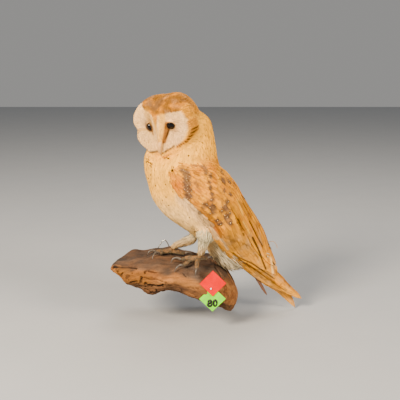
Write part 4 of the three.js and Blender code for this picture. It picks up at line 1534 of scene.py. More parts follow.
def flight_piece(name, forms, part, replaced=()):
    """Long feathers as one piece: each is painted along its own length and has a strip of the map."""
    points, faces = stacked([(form["points"].reshape(-1, 3), form["faces"]) for form in forms])
    mesh = new_mesh(name, row_from_owl(points), facing_out(points, faces))
    c = colours()
    kept = {key: [] for key in ("ground", "mauve", "dark", "along", "across", "chance", "speck", "bars")}
    maps = []
    for index, form in enumerate(forms):
        stations, ring = form["shape"][1:]
        t = form["values"]["along"][0, :, 0]
        across = form["values"]["across"][0]
        spots = form["points"].reshape(-1, 3)
        ground, mauve, dark = markings(spots, np.full(len(spots), part), form["places"], form["up"])
        ground = ground.reshape(stations, ring, 3)
        group = form["name"]
        chance = form["values"]["chance"].flat[0]
        outer = step(across, -0.45, -0.85)[..., None]
        yellow = {"tertial": 0.6, "secondary": 0.3, "primary": 0.45}.get(group, 0.25)
        ground = lerp(ground, c["edge"], yellow * chance * outer)
        # Painted shade on the inner half of each vane, where the next feather lies over it.
        shaded_under_neighbour = step(across, 0.1, 0.6)[..., None]
        ground = lerp(ground, c["stain"], 0.4 * shaded_under_neighbour)
        if group == "vent":
            ground = 0 * ground + c["fluff"]
        if group == "loose":
            ground = 0 * ground + c["mauve"] * [1.2, 1.0, 0.9]
        # A painted shadow along the outer edge of primaries, rectrices and secondaries, where each lies over
        # the next, broken into streaks; and a faint dark line along the shaft.
        streak = step(noise(np.stack([t * 9 + 7 * index, 0 * t, 0 * t], -1), 1, 3), -0.2, 0.4)[:, None]
        edges = bell(across + 0.97, 0.09) * (group in ("primary", "rectrix", "secondary"))
        shaft = bell(across, 0.06) * 0.3
        edge_shadow_and_shaft = np.clip(0.9 * edges * streak + shaft, 0, 1) * step(t, 0.1, 0.3)[:, None] * (0.3 + 0.6 * chance)
        kept["ground"].append(ground.reshape(-1, 3))
        kept["mauve"].append(0.5 * mauve + 0.2 * np.repeat(step(t, 0.8, 1.0), ring) * (group == "primary"))
        kept["dark"].append(np.maximum(dark, edge_shadow_and_shaft.reshape(-1)))
        for key in ("along", "across", "chance", "speck"):
            kept[key].append(form["values"][key].reshape(-1).astype(float))
        kept["bars"].append(np.full(stations * ring, form["bars"]))
        strip = np.stack([
            (index + 0.5 + 0.44 * across) / len(forms),
            np.broadcast_to(0.01 + 0.98 * t[:, None], across.shape),
        ], -1)
        maps.append(strip.reshape(-1, 2))
    note(mesh, {key: np.concatenate(values) for key, values in kept.items()})
    lay_map(mesh, "OFBake", np.concatenate(maps))
    return place(name, mesh, coat_finish(), replaced)


def dress_wings():
    for name, side, seed in (("left", 1, 71), ("right", -1, 76)):
        plume_piece(f"coverts_{name}", wing_coverts(side, seed))
        flight_piece(f"flight_feathers_{name}", long_feathers(side, seed + 2), WING)


def free_feather(path, up, half, outline, seed, name, bars, camber=0.12):
    """One closed vane along a free path, its edges lower than its shaft."""
    draw = np.random.default_rng(seed)
    stations, columns = 30, 9
    t, x = np.linspace(0, 1, stations), np.linspace(-1, 1, columns)
    centre = eased(path, t)
    ups = np.broadcast_to(unit(eased(up, t) if np.ndim(up) == 2 else np.asarray(up, float)), centre.shape)
    side = unit(np.cross(ups, unit(np.gradient(centre, axis=0))))
    wide = half * np.interp(t, [0, 0.06, 0.3, 0.8, 0.93, 1], outline)
    ragged = 1 - 0.14 * (draw.random((stations, columns)) < 0.08) * (np.abs(x) > 0.9)
    offset = x[None] * wide[:, None] * ragged
    drop = camber * np.abs(x[None]) ** 1.5 * wide[:, None] - 0.25 * bell(x, 0.12)[None]
    top = centre[:, None] + side[:, None] * offset[..., None] - ups[:, None] * drop[..., None]
    thick = (0.3 * (1 - 0.8 * np.abs(x)) + 0.06)[None, :, None]
    facts = (name, np.repeat(t[:, None], columns, 1), np.full((stations, columns), 0.3), bars)
    return sheet_form(top, top - ups[:, None] * thick, t, x, draw, 1, facts)


TAIL_OUTLINE = [0.5, 0.75, 1, 0.95, 0.75, 0.15]
SLIM_OUTLINE = [0.35, 0.8, 1, 0.7, 0.45, 0.08]


def dress_tail():
    forms = []
    up = np.array([-0.68, 0, 0.73])
    for k, share in enumerate(np.linspace(-1, 1, 11)):
        rise = 1.6 - 1.1 * abs(share) + 0.12 * (k % 2)
        root = np.array([-96, 4 * share, -9]) + up * (5 - 2 * abs(share))
        middle = np.array([-122, 11 * share, -43]) + up * (2.2 + rise - 1.5 * share**2)
        tip = np.array([-144 + 2 * abs(share), 13.5 * share, -66 + 4 * share**2]) + up * (rise - 0.5)
        forms.append(free_feather([root, middle, tip], up, 5.2, TAIL_OUTLINE, 90 + k, "rectrix", 0.8))
    for k, share in enumerate(np.linspace(-0.8, 0.8, 5)):
        root = np.array([-88, 5 * share, -14]) - up * 5
        tip = np.array([-128, 10 * share, -56]) - up * 2.5
        path = [root, lerp(root, tip, 0.5) - up, tip]
        forms.append(free_feather(path, -up, 5.0, TAIL_OUTLINE, 110 + k, "vent", 0))
    flight_piece("tail_feathers", forms, TAIL_PART)
    path = [[-96, 7.5, -10], [-101, 9.5, -36], [-110, 10, -54], [-120, 10, -71]]
    ups = [[-0.3, 1, 0.1], [-0.3, 1, 0.1], [-0.1, 1, 0.3], [0.3, 1, 0.3]]
    loose = free_feather(path, ups, 3.1, SLIM_OUTLINE, 130, "loose", 0.2, 0.25)
    flight_piece("loose_tail_feather", [loose], TAIL_PART, ["loose_feather"])
    start = wing_point(0.655, 0.99, 1, 2.0)
    curl = [start, start + [-7, 3, 1], start + [-11.5, 4, -4], start + [-13, 4, -9]]
    ups = [[0, 0, 1], [-0.3, 0, 1], [-0.8, 0, 0.5], [-1, 0, 0.1]]
    stray = free_feather(curl, ups, 1.0, SLIM_OUTLINE, 131, "stray", 0)
    flight_piece("stray_feather", [stray], TAIL_PART)


# ---- eyes, bill, feet and claws ----


def form_piece(name, forms, material, replaced, in_row=False, values=None):
    points, faces = stacked(forms)
    mesh = new_mesh(name, points if in_row else row_from_owl(points), faces)
    if values is not None:
        note(mesh, values)
    return place(name, mesh, material, replaced)


def glass_finish(name):
    finish = Finish(name, roughness=0.12, ior=1.45, specular=0.25)
    brown = finish.mix(finish.lumps(0.8, 3.0), (0.003, 0.002, 0.002), (0.009, 0.005, 0.003))
    finish.put(base_color=finish.mix(finish.kept("off_axis").step(0.8, 0.98), (0.001, 0.001, 0.002), brown))
    return finish.material


def lid_finish(name):
    c = colours()
    finish = Finish(name, roughness=0.75, specular=0.2)
    folds = finish.lumps(0.7, 4.0, (1, 1, 2.5))
    inner = finish.mix(folds, (0.004, 0.003, 0.002), (0.015, 0.009, 0.006))
    outer = finish.mix(finish.kept("dark"), finish.kept("ground", "Color"), tuple(c["bar"]))
    outer = finish.shade(outer, 0.75 + 0.4 * folds)
    finish.put(base_color=finish.mix(finish.kept("outward").step(0.0, 0.55), inner, outer))
    finish.relief(folds, 0.25, 0.8)
    return finish.material


# The openings of the lids of an eye of radius 1: side, middle across and up, half sizes and tilt.
LID_OPENINGS = [(1, 0.2, -0.18, 0.66, 0.62, 0.0), (-1, 0.24, 0.14, 0.2, 0.62, 0.3)]


def dress_eyes():
    c = colours()
    t, turn, faces = closed_grid(40, 48)
    for name, side in (("left", 1), ("right", -1)):
        centre = eye_centre(side)
        angle = np.pi * t
        radius = EYE_RADIUS + 0.35 * bell(angle, 0.5)
        ball = np.stack([np.cos(angle), np.sin(angle) * np.cos(turn), np.sin(angle) * np.sin(turn)], -1)
        points = owl_from_head(centre + ball * radius[:, None])
        form_piece(
            f"eye_ball_{name}", [(points, facing_out(points, faces))], shared("eye_glass", glass_finish),
            [f"eye_{name}"], values={"off_axis": np.sin(angle)},
        )
    forms, outward = [], []
    count, rows = 72, 14
    turn = np.arange(count) / count * 2 * np.pi
    share = np.linspace(0, 1, rows)[:, None]
    for side, across, up, wide, high, tilt in LID_OPENINGS:
        u, v = wide * np.cos(turn), high * np.sin(turn) * (1 + 0.06 * np.sin(3 * turn))
        u, v = across + u * math.cos(tilt) - v * math.sin(tilt), up + u * math.sin(tilt) + v * math.cos(tilt)
        u = lerp(u[None], 0.995 * np.cos(turn)[None], share)
        v = lerp(v[None], 0.995 * np.sin(turn)[None], share)
        ball = np.stack([np.sqrt(np.clip(1 - u**2 - v**2, 0, 1)), u, v], -1)
        folds = 0.1 * np.sin(26 * share + 2 * np.sin(3 * turn))
        outer = EYE_RADIUS + 0.4 + 0.5 * np.sqrt(np.clip(share * 5, 0, 1)) + folds
        loop = np.concatenate([ball * outer[..., None], ball[::-1] * (EYE_RADIUS + 0.3)], axis=0)
        points = owl_from_head(eye_centre(side) + loop.reshape(-1, 3))
        ring = np.arange(2 * rows)[:, None]
        row, below = ring * count, (ring + 1) % (2 * rows) * count
        k, following = np.arange(count)[None], (np.arange(count)[None] + 1) % count
        quads = np.stack([row + k, row + following, below + following, below + k], -1).reshape(-1, 4)
        forms.append((points, facing_out(points, [quads])))
        outward.append(np.repeat(np.concatenate([share[:, 0], share[::-1, 0]]), count))
    spots = np.concatenate([form[0] for form in forms])
    ground, _, dark = head_colours(spots, c)
    values = {"outward": np.concatenate(outward), "ground": ground, "dark": dark}
    form_piece("eyelids", forms, shared("eyelid", lid_finish), [], values=values)


def horn_finish(name, key, gloss):
    c = colours()
    finish = Finish(name, roughness=gloss, specular=0.5, coat_weight=0.15, coat_roughness=0.3)
    along = finish.kept("along")
    growth = finish.lumps(1.3, 3.0, (1, 1, 3))
    colour = finish.mix(along.step(0.15, 0.85), tuple(c[key]), tuple(c[key] * 0.55))
    colour = finish.shade(colour, 0.75 + 0.5 * growth)
    finish.put(base_color=colour, roughness=gloss + 0.25 * growth)
    finish.relief((along * 70.0).sine() * 0.3 + growth, 0.1, 0.4)
    return finish.material


def grown_form(stations, side, ripple=None, **shape):
    """A spindle in the owl's frame with how far along it each point lies."""
    along, around = shape.get("along", 40), shape.get("around", 20)
    points, faces = spindle(stations, side, shape.get("cap", 0.12), along, around, ripple)
    t = closed_grid(along, around)[0]
    return points, faces, t


def flat_sided(s, turn):
    return 1 - 0.12 * np.cos(2 * turn) ** 4


def dress_bill():
    upper = np.array(BILL_UPPER, float)
    upper = np.concatenate([upper, [[36.6, 0, -35.2, 0.3, 0.3]]])
    pieces = [("bill_hook", upper, "bill_upper"), ("bill_under", np.array(BILL_LOWER, float), "bill_lower")]
    for name, stations, node in pieces:
        points, faces, t = grown_form(stations, (0, 1, 0), flat_sided, around=32)
        points = owl_from_head(points)
        material = shared("bill_horn", lambda label: horn_finish(label, "bill", 0.35))
        forms = [(points, facing_out(points, faces))]
        form_piece(name, forms, material, [node], values={"along": t})


def level(a, b):
    return unit(np.cross(np.subtract(b, a), [0, 0, 1]))


def skin_finish(name):
    c = colours()
    finish = Finish(name, roughness=0.6, specular=0.35)
    scales = finish.cells(1.4, "F1")
    cracks = finish.cells(1.4, "DISTANCE_TO_EDGE").step(0.0, 0.12)
    broad = finish.lumps(5.0, 3.0)
    under = finish.kept("under")
    dark, brown = c["toe"] * 0.5, c["stain"] * 0.6 + c["toe"] * 0.5
    colour = finish.mix(broad.step(0.35, 0.7), tuple(dark), tuple(brown))
    # Painted shade: the undersides of the toes are darker.
    colour = finish.mix(under * 0.6, colour, tuple(c["leg"] * 0.4))
    colour = finish.shade(colour, 0.55 + 0.45 * cracks)
    finish.put(base_color=colour, roughness=0.5 + 0.3 * broad)
    finish.relief(cracks + 0.3 * scales, 0.3, 0.8)
    return finish.material


def dress_feet():
    for name, leg in LEGS.items():
        forms = []
        t, turn, faces = closed_grid(20, 24)
        ball = sphere(t, turn)
        ankle = np.array(leg["ankle"], float)
        points = ankle + PAD_RADIUS * ball
        forms.append((points, facing_out(points, faces)))
        for first, second, *_ in leg["toes"]:
            middle = lerp(np.array(first, float), np.array(second, float), 0.5)
            sizes_along = [(1.15, 1.25), (0.95, 1.0), (0.85, 0.9), (0.8, 0.85)]
            spots = [ankle, first, middle, second]
            stations = [
                [*spot, TOE_RADIUS * deep, TOE_RADIUS * wide]
                for spot, (deep, wide) in zip(spots, sizes_along)
            ]
            span = np.linalg.norm(np.subtract(second, ankle))

            def scutes(s, turn, span=span):
                pads = 0.1 * np.sin(s * span / 5.5 * 2 * np.pi) * (np.sin(turn) < 0)
                rings = 0.07 * np.abs(np.sin(s * span / 1.9 * np.pi)) * (np.sin(turn) > -0.2)
                return 0.97 + pads + rings

            points, faces_of = spindle(stations, level(ankle, second), 0.16, 60, 28, scutes)
            forms.append((points, faces_of))
        points, faces = stacked(forms)
        mesh = remeshed(row_from_owl(points), faces, 0.55)
        rows = smoothed(read_points(mesh), read_edges(mesh), 1, 0.4)
        mesh.vertices.foreach_set("co", (rows / 1000).astype(np.float32).ravel())
        mesh.update()
        mesh.shade_smooth()
        normal = corner_normals(rows, read_faces(mesh))
        # How far each point faces downwards, for the painted shade under the toes.
        note(mesh, {"under": step(normal[:, 2], 0.0, -0.6)})
        place(f"toes_{name}", mesh, shared("toe_skin", skin_finish), [f"foot_{name}"])


def dress_claws():
    for name, leg in LEGS.items():
        forms, along = [], []
        for _, second, bend, tip in leg["toes"]:
            root, bend, tip = (np.array(spot, float) for spot in (second, bend, tip))
            arch = np.array([0, 0, 0.9])
            spots = [
                (root, 1.15, 1.0), (lerp(root, bend, 0.6) + arch, 1.0, 0.8),
                (lerp(bend, tip, 0.35) + arch, 0.72, 0.6), (tip, 0.12, 0.12),
            ]
            stations = [[*spot, CLAW_RADIUS * deep, CLAW_RADIUS * wide] for spot, deep, wide in spots]
            points, faces, t = grown_form(stations, level(second, tip), along=44, around=18, cap=0.08)
            forms.append((points, faces))
            along.append(t)
        replaced = [f"claw_{name}_{k}" for k in range(1, 5)]
        material = shared("claw_horn", lambda label: horn_finish(label, "claw", 0.28))
        values = {"along": np.concatenate(along)}
        form_piece(f"claws_{name}", forms, material, replaced, values=values)


# ---- the mount ----


def wood_point(t, turn):
    """The driftwood's plain form: x, y, z, and how far each point lies from the ends."""
    ribs = eased(WOOD, t)
    end = rounded(np.minimum(1, np.minimum(t / 0.05, (1 - t) / 0.06)))
    c, s = np.cos(turn), np.sin(turn)
    under = np.where(s < 0, lerp(1, 0.72, -s), 1)
    y = np.sign(c) * np.abs(c) ** 0.6 * under * end
    z = np.sign(s) * np.abs(s) ** 0.7 * end
    x = ribs[:, 0]
    gnarl = 1.3 * np.sin(0.11 * x + 3 * turn) + 0.9 * np.sin(0.23 * x - 2 * turn)
    furrow = 1.1 * np.sin(9 * turn + 0.03 * x) * step(-s, -0.7, 0.3)
    swell = (gnarl + furrow) * end
    y = lerp(ribs[:, 1], ribs[:, 2], 0.5 + 0.5 * y) + swell * c
    z = lerp(ribs[:, 3], ribs[:, 4], 0.5 + 0.5 * z) + swell * s
    return np.stack([x, y, z], -1), end


# Marks on the driftwood, in the row's frame: colour, share, half width where they start and end, how deep
# they are cut, and path. The cracks are cut in and darkened with painted shade.
WOOD_MARKS = [
    ("golden", 0.75, 10, 8, 0, [(-80, -78, 4), (-62, -92, 2), (-44, -95, 3)]),
    ("grey", 0.85, 9, 7, 0, [(0, -90, 20), (22, -92, 17), (44, -84, 12)]),
    ("grey", 0.7, 6, 4, 0, [(12, -106, 15), (30, -110, 10)]),
    ("pale", 0.6, 1.4, 1.4, 0, [(-92, -64, 11.5), (-78, -74, 16), (-66, -77, 17.5)]),
    # The raised ridge along the right end's top is painted pale: a painted highlight on its lit rim.
    (
        "pale", 0.8, 2.2, 2.6, -0.6,
        [(47, -46, 12.5), (53, -49, 11.4), (61, -44, 5.5), (67, -44, 0), (76, -64, -13)],
    ),
    ("pale", 0.5, 4, 5, 0, [(-20, -98, 6), (-8, -102, 4)]),
    ("pale", 0.6, 5, 3, 0, [(14, -104, -16), (24, -106, -20)]),
    ("hollow_shade", 1.0, 1.9, 1.1, 3.2, [(-94, -66, 8.5), (-87, -71.5, 12.6), (-70, -77, 13.7), (-57, -88, 15.0)]),
    ("hollow_shade", 1.0, 2.2, 1.7, 5.0, [(-40, -94, -8.1), (-29, -96, -9), (-20, -102, -4.5)]),
    ("hollow_shade", 0.9, 1.4, 1.0, 2.5, [(-65, -90, -4), (-55, -93, -2.5)]),
    ("hollow_shade", 0.7, 1.0, 0.8, 1.8, [(-40, -92, 12), (-24, -96, 10), (-14, -99, 12)]),
    ("hollow_shade", 0.9, 1.3, 1.0, 2.0, [(50, -66, 11.5), (53.5, -80, 10.5), (58.6, -96, 5.4), (65.5, -97.6, -7)]),
    ("hollow_shade", 0.65, 1.2, 0.8, 1.6, [(2, -103, 15), (16, -111, 9), (34, -113, 5)]),
    ("hollow_shade", 0.5, 0.9, 0.7, 1.2, [(-16, -100, -6), (6, -108, -4), (28, -114, -6)]),
    ("hollow_shade", 0.5, 1.0, 0.8, 1.2, [(64, -103, -14), (74, -92, -22), (80, -78, -30)]),
]

# The lowest that the broken left end reaches: x and z.
BROKEN_END = [(-99, 7.5), (-88, 6), (-81, 4.5), (-77, 0.5), (-72.6, -6), (-68.5, -10), (-61, -15), (-50, -26)]


def dress_wood():
    """The driftwood with its grain, cracks, broken front and hollowed underside, with painted shade in its
    cracks, holes and along its underside.
    """
    along, around = 330, 300
    t, turn, faces = closed_grid(along, around)
    points, end = wood_point(t, turn)
    faces = facing_out(points, faces)
    normal = corner_normals(points, fans(faces))
    x = points[:, 0]
    top = step(normal[:, 2] + 0.12 * rough(points, 14, 2, 60), 0.35, 0.7)
    low = step(normal[:, 2], 0.05, -0.6)
    front = (1 - top) * step(normal[:, 1], 0.2, -0.4)
    flow = points * [0.14, 1, 1] + np.stack([0 * t, 0 * t, 4 * noise(points, 34, 2)], -1)
    grain = rough(flow, 2.4, 3, 61)
    ribs = np.abs(rough(flow, 7, 2, 65))
    lumps = rough(points, 13, 3, 71)
    crumbs = rough(points * [0.6, 1, 1], 4.2, 3, 73)
    crack = bell(np.abs(noise(flow, 9, 75) + 0.2 * noise(points, 9, 77)), 0.05)
    crack = crack * step(noise(points, 24, 79), -0.2, 0.2)
    broken = front * step(x, -25, -45) + 0.5 * low
    pits = np.clip(step(rough(points, 5, 2, 83), 0.22, 0.45) * broken, 0, 1)
    group = bpy.context.scene.mount_colours
    ground = {key: np.array(getattr(group, key)) for key in ("wood", "weathered", "golden", "hollow_shade")}
    ground.update({"grey": ground["weathered"], "pale": ground["wood"] * [1.5, 1.5, 1.6]})
    streaks = step(rough(flow * [1, 0.6, 0.6], 5, 3, 91), -0.35, 0.4)[:, None]
    fresh = lerp(ground["wood"] * [0.8, 0.72, 0.66], ground["wood"] * [1.15, 1.15, 1.1], streaks)
    grey = lerp(ground["weathered"] * 0.6, ground["weathered"] * [1.05, 0.95, 0.9], streaks)
    colour = lerp(fresh, grey, np.clip(top * (0.85 + 0.3 * lumps), 0, 1)[:, None])
    # Painted shade: faces that turn downwards are darker.
    colour = lerp(colour, ground["weathered"] * 0.6, (0.55 * low)[:, None])
    depth = 0.45 * grain + 1.2 * (0.3 - ribs) * (1 - 0.6 * top) + 1.1 * lumps * (1 - 0.7 * top)
    depth = depth + 1.5 * crumbs * front * step(x, 10, -50) - 1.8 * crack - 2.6 * pits
    # Painted shade in cracks, pits and the grooves between the grain's ribs.
    hollow_shade = 0.8 * crack + 0.7 * pits + 0.45 * step(ribs, 0.05, 0.0) * (1 - 0.5 * top)
    carved = 0 * x
    for name, share, start, finish, deep, path in WOOD_MARKS:
        cover = on_line(points + 0.8 * crumbs[:, None], path, start, finish)
        if name == "hollow_shade":
            hollow_shade = np.maximum(hollow_shade, share * cover)
        else:
            worn = share * cover * (0.75 + 0.25 * streaks[:, 0])
            colour = lerp(colour, ground[name] * (0.85 + 0.3 * streaks), worn[:, None])
        carved = carved + deep * cover
    feet_row = row_from_owl(np.array([leg["ankle"] for leg in LEGS.values()], float))
    calm = np.minimum.reduce([np.linalg.norm(points - foot, axis=1) for foot in feet_row])
    calm = lerp(0.35, 1.0, step(calm, 16, 30))
    card = step(np.linalg.norm(points - np.array([47, -115, -8]), axis=1), 14, 30)
    depth = (depth * calm * (0.35 + 0.65 * card) - 1.2 * (1 - card)) * step(end, 0.0, 0.5)
    points = points + normal * (np.minimum(depth, 1.2) - carved)[:, None]
    lowest = np.interp(x, *np.array(BROKEN_END).T) + 1.2 * crumbs
    lifted = np.maximum(points[:, 2], lowest + 0.12 * (points[:, 2] - lowest))
    points[:, 2] = np.where(x < -50, lifted, points[:, 2])
    points[:, 1] = np.minimum(points[:, 1], 0)
    flat = step(points[:, 1], -0.6, 0.0)
    colour = colour * (0.8 + 0.3 * step(grain, -0.5, 0.4))[:, None]
    colour = lerp(colour, ground["hollow_shade"], (0.9 * np.clip(hollow_shade, 0, 1) * (1 - flat))[:, None])
    values = {"ground": colour, "sawn": flat}
    material = shared("driftwood", wood_finish)
    form_piece("driftwood", [(points, faces)], material, ["wood_perch"], True, values)


def wood_finish(name):
    wood = np.array(bpy.context.scene.mount_colours.wood)
    finish = Finish(name, roughness=0.85, specular=0.2)
    fibres = finish.lumps(1.3, 4.0, (0.12, 1, 1), distortion=0.6)
    motes = finish.lumps(0.8, 3.0)
    colour = finish.shade(finish.kept("ground", "Color"), 0.55 + 0.8 * fibres)
    colour = finish.shade(colour, 0.8 + 0.36 * motes)
    rings = finish.mix(fibres.step(0.4, 0.6), tuple(wood * 0.85), tuple(wood * 1.35))
    colour = finish.mix(finish.kept("sawn"), colour, rings)
    finish.put(base_color=colour, roughness=0.7 + 0.25 * fibres)
    finish.relief(fibres + 0.6 * motes, 0.8, 1.0)
    return finish.material


def steel_finish(name):
    finish = Finish(name, metallic=1.0, roughness=0.3)
    wear = finish.lumps(2.0, 4.0)
    steel = finish.mix(wear, (0.38, 0.37, 0.35), (0.72, 0.71, 0.69))
    finish.put(base_color=steel, roughness=0.22 + 0.3 * wear)
    finish.relief(finish.lumps(0.4, 2.0, (1, 1, 0.1)), 0.03, 0.4)
    return finish.material


def tube(path, radius, stations, around):
    """A round closed tube along a smooth path."""
    u = np.linspace(0, 1, stations)
    centre = eased(path, u)
    tangent = unit(np.gradient(centre, axis=0))
    side = unit(np.cross(tangent, [0, 1, 0]))
    up = np.cross(side, tangent)
    turn = np.arange(around) / around * 2 * np.pi
    ring = side[:, None] * np.cos(turn)[None, :, None] + up[:, None] * np.sin(turn)[None, :, None]
    points = centre[:, None] + radius * ring
    points = points.reshape(-1, 3)
    return points, facing_out(points, ring_faces(1, stations, around))


def dress_hanger():
    form = tube(HANGER, WIRE_RADIUS, 120, 20)
    form_piece("hanger_loop", [form], shared("steel_wire", steel_finish), ["hanger_wire"], True)


def card_finish(name, key):
    colour = np.array(getattr(bpy.context.scene.mount_colours, key))
    finish = Finish(name, roughness=0.7, specular=0.0)
    fibre = finish.lumps(0.5, 4.0)
    handled = finish.lumps(9.0, 3.0)
    base = finish.mix(handled.step(0.35, 0.7), tuple(np.clip(colour * 1.04, 0, 1)), tuple(colour * 0.88))
    base = finish.shade(base, 0.93 + 0.12 * fibre)
    finish.put(base_color=base, roughness=0.5 + 0.15 * fibre)
    finish.relief(fibre, 0.05, 0.5)
    return finish.material


def ink_finish(name):
    ink = np.array(bpy.context.scene.mount_colours.ink)
    finish = Finish(name, roughness=0.5)
    finish.put(base_color=finish.mix(finish.lumps(0.7, 3.0), tuple(ink * 0.3), tuple(ink * 0.7)))
    return finish.material


def pearl_finish(name):
    finish = Finish(name, roughness=0.18, coat_weight=0.6, coat_roughness=0.08)
    cloud = finish.lumps(0.8, 3.0)
    finish.put(base_color=finish.mix(cloud, (0.82, 0.79, 0.72), (0.95, 0.94, 0.9)))
    return finish.material


def wear(node, material):
    """Gives a node of the solids its finish."""
    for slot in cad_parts[node].material_slots:
        slot.material = material


CARD_CENTRE = np.array([46.8, -113.2, -20])
CARD_TURN = turned(math.degrees(0.04), 2)
PEN_WIDTH = 3.0


def pen_stroke(path):
    """A flat closed ribbon along a path on the green card's face, x to the right and z up."""
    path = np.asarray(path, float)
    stations = 40
    u = np.linspace(0, 1, stations)
    line = eased(path, u)
    tangent = unit(np.gradient(line, axis=0))
    side = np.stack([tangent[:, 1], -tangent[:, 0]], -1)
    half = 0.5 * PEN_WIDTH * (0.9 + 0.15 * np.sin(5 * u))[:, None]
    flat = np.stack([line - side * half, line + side * half], axis=1)
    y = np.array([-0.42, -0.42, -0.25, -0.25])
    corners = np.concatenate([flat, flat[:, ::-1]], axis=1)
    points = np.stack([corners[..., 0], np.broadcast_to(y, corners.shape[:2]), corners[..., 1]], -1)
    points = points.reshape(-1, 3)
    return points, facing_out(points, ring_faces(1, stations, 4))


def dress_cards():
    wear("tag_red", shared("red_card", lambda label: card_finish(label, "red_card")))
    wear("tag_green", shared("green_card", lambda label: card_finish(label, "green_card")))
    wear("tag_pin", shared("pin_pearl", pearl_finish))
    turn = np.linspace(0, 2 * np.pi, 25)
    zero = np.stack([2.2 * np.cos(turn), 4.1 * np.sin(turn)], -1) + [3.7, 0]
    lower = np.stack([2.4 * np.cos(turn + np.pi / 2), 2.15 * np.sin(turn + np.pi / 2) - 1.95], -1) + [-3.6, 0]
    upper = np.stack([1.9 * np.cos(turn - np.pi / 2), 1.9 * np.sin(turn - np.pi / 2) + 2.1], -1) + [-3.6, 0]
    forms = []
    for path in (zero, lower, upper):
        points, faces = pen_stroke(path)
        points = (points + [0, 0, -6]) @ CARD_TURN.T + CARD_CENTRE
        forms.append((points, faces))
    form_piece("card_number", forms, shared("ink", ink_finish), [], True)


# ---- stage ----


# The lights: place in metres, power, size and colour.
LIGHTS = {
    "key": ((-0.9, -1.2, 1.0), 95, 0.5, (1.0, 0.80, 0.58)),
    "fill": ((1.3, -1.0, 0.7), 42, 0.6, (1.0, 0.82, 0.62)),
    "top": ((0.1, 0.5, 1.5), 14, 0.8, (1.0, 0.9, 0.78)),
}
LIT_SPOT = (0.03, -0.06, 0.1)


def stage_finish(name):
    finish = Finish(name, roughness=0.9, specular=0.1)
    finish.put(base_color=finish.mix(finish.lumps(60.0, 2.0), (0.33, 0.36, 0.40), (0.35, 0.38, 0.42)))
    return finish.material


def aim(thing, target):
    thing.rotation_euler = (Vector(target) - thing.location).to_track_quat("-Z", "Y").to_euler()


def soft_light(name, where, power, size, colour):
    lamp = bpy.data.lights.new(name, "AREA")
    lamp.energy, lamp.size, lamp.color = power, size, colour
    holder = bpy.data.objects.new(name, lamp)
    holder.location = where
    bpy.context.scene.collection.objects.link(holder)
    aim(holder, LIT_SPOT)


def set_stage():
    low = min(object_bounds()[0][2], CAD_BOX[0][2]) - 0.0005
    half = 3.0
    corners = np.array([[-half, -half, 0], [half, -half, 0], [half, half, 0], [-half, half, 0]]) + [0, 0, low]
    mesh = new_mesh("floor", corners * 1000, [np.array([[0, 1, 2, 3]])])
    mesh.materials.append(stage_finish("floor"))
    floor = bpy.data.objects.new("floor", mesh)
    bpy.context.scene.collection.objects.link(floor)
    floor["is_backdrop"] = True

    world = bpy.data.worlds.new("studio")
    world.use_nodes = True
    world.node_tree.nodes["Background"].inputs["Color"].default_value = (1.0, 0.985, 0.96, 1)
    world.node_tree.nodes["Background"].inputs["Strength"].default_value = 0.3
    bpy.context.scene.world = world
    for name, facts in LIGHTS.items():
        soft_light(name, *facts)

    lens = bpy.data.cameras.new("camera")
    lens.lens, lens.sensor_width = 75, 36
    camera = bpy.data.objects.new("camera", lens)
    target = Vector((0.030, -0.060, 0.105))
    away, rise = 1.150, math.radians(12)
    camera.location = target + Vector((0, -away * math.cos(rise), away * math.sin(rise)))
    bpy.context.scene.collection.objects.link(camera)
    aim(camera, target)
    bpy.context.scene.camera = camera


# ---- the add-on ----


class OWL_OT_skin(bpy.types.Operator):
    """Covers the owl's body with one skin"""

    bl_idname = "owl.skin"
    bl_label = "Skin"

    def execute(self, context):
        dress_skin()
        return {"FINISHED"}


class OWL_OT_face(bpy.types.Operator):
    """Lays the fine feathers of the face and its rim"""

    bl_idname = "owl.face"
    bl_label = "Face"

    def execute(self, context):
        dress_face()
        return {"FINISHED"}


class OWL_OT_body(bpy.types.Operator):
    """Lays the plumage of the crown, neck, breast, belly and legs"""

    bl_idname = "owl.body"
    bl_label = "Body plumage"

    def execute(self, context):
        dress_body()
        return {"FINISHED"}


class OWL_OT_wings(bpy.types.Operator):
    """Lays the coverts and the flight feathers of both wings"""

    bl_idname = "owl.wings"
    bl_label = "Wings"

    def execute(self, context):
        dress_wings()
        return {"FINISHED"}


class OWL_OT_tail(bpy.types.Operator):
    """Lays the tail feathers and the loose ones"""

    bl_idname = "owl.tail"
    bl_label = "Tail"

    def execute(self, context):
        dress_tail()
        return {"FINISHED"}


class OWL_OT_eyes(bpy.types.Operator):
    """Makes the eyes and their lids"""

    bl_idname = "owl.eyes"
    bl_label = "Eyes"

    def execute(self, context):
        dress_eyes()
        return {"FINISHED"}


class OWL_OT_bill(bpy.types.Operator):
    """Makes the bill"""

    bl_idname = "owl.bill"
    bl_label = "Bill"

    def execute(self, context):
        dress_bill()
        return {"FINISHED"}


class OWL_OT_feet(bpy.types.Operator):
    """Makes the toes and the claws"""

    bl_idname = "owl.feet"
    bl_label = "Feet"

    def execute(self, context):
        dress_feet()
        dress_claws()
        return {"FINISHED"}


class OWL_OT_wood(bpy.types.Operator):
    """Makes the driftwood"""

    bl_idname = "owl.wood"
    bl_label = "Driftwood"

    def execute(self, context):
        dress_wood()
        return {"FINISHED"}


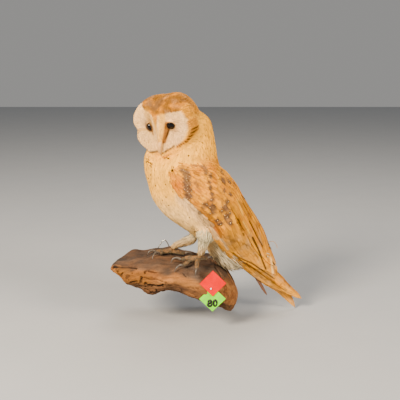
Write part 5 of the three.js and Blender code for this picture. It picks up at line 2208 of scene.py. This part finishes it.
class OWL_OT_hanger(bpy.types.Operator):
    """Makes the wire loop at the back of the wood"""

    bl_idname = "owl.hanger"
    bl_label = "Hanger"

    def execute(self, context):
        dress_hanger()
        return {"FINISHED"}


class OWL_OT_cards(bpy.types.Operator):
    """Finishes the two cards and their pin, and writes the number"""

    bl_idname = "owl.cards"
    bl_label = "Cards"

    def execute(self, context):
        dress_cards()
        return {"FINISHED"}


class OWL_OT_stage(bpy.types.Operator):
    """Sets the floor, the lights and the camera"""

    bl_idname = "owl.stage"
    bl_label = "Stage"

    def execute(self, context):
        set_stage()
        return {"FINISHED"}


OPERATORS = [
    OWL_OT_skin, OWL_OT_face, OWL_OT_body, OWL_OT_wings, OWL_OT_tail, OWL_OT_eyes, OWL_OT_bill, OWL_OT_feet,
    OWL_OT_wood, OWL_OT_hanger, OWL_OT_cards, OWL_OT_stage,
]


class OWL_PT_panel(bpy.types.Panel):
    """Lists the owl's pieces, colours and sizes"""

    bl_idname = "OWL_PT_panel"
    bl_label = "Barn owl"
    bl_space_type = "VIEW_3D"
    bl_region_type = "UI"
    bl_category = "Owl"

    def draw(self, context):
        layout = self.layout
        for operator in OPERATORS:
            layout.operator(operator.bl_idname)
        for group in (context.scene.owl_sizes, context.scene.owl_colours, context.scene.mount_colours):
            column = layout.column(align=True)
            for name in type(group).__annotations__:
                column.prop(group, name)


GROUPS = {"owl_colours": OwlColours, "owl_sizes": OwlSizes, "mount_colours": MountColours}


def register():
    for kind in (*GROUPS.values(), *OPERATORS, OWL_PT_panel):
        bpy.utils.register_class(kind)
    for name, kind in GROUPS.items():
        setattr(bpy.types.Scene, name, bpy.props.PointerProperty(type=kind))


def unregister():
    for name in GROUPS:
        delattr(bpy.types.Scene, name)
    for kind in reversed((*GROUPS.values(), *OPERATORS, OWL_PT_panel)):
        bpy.utils.unregister_class(kind)


def main():
    register()
    for operator in OPERATORS:
        group, name = operator.bl_idname.split(".")
        getattr(getattr(bpy.ops, group), name)()


if __name__ == "__main__":
    main()
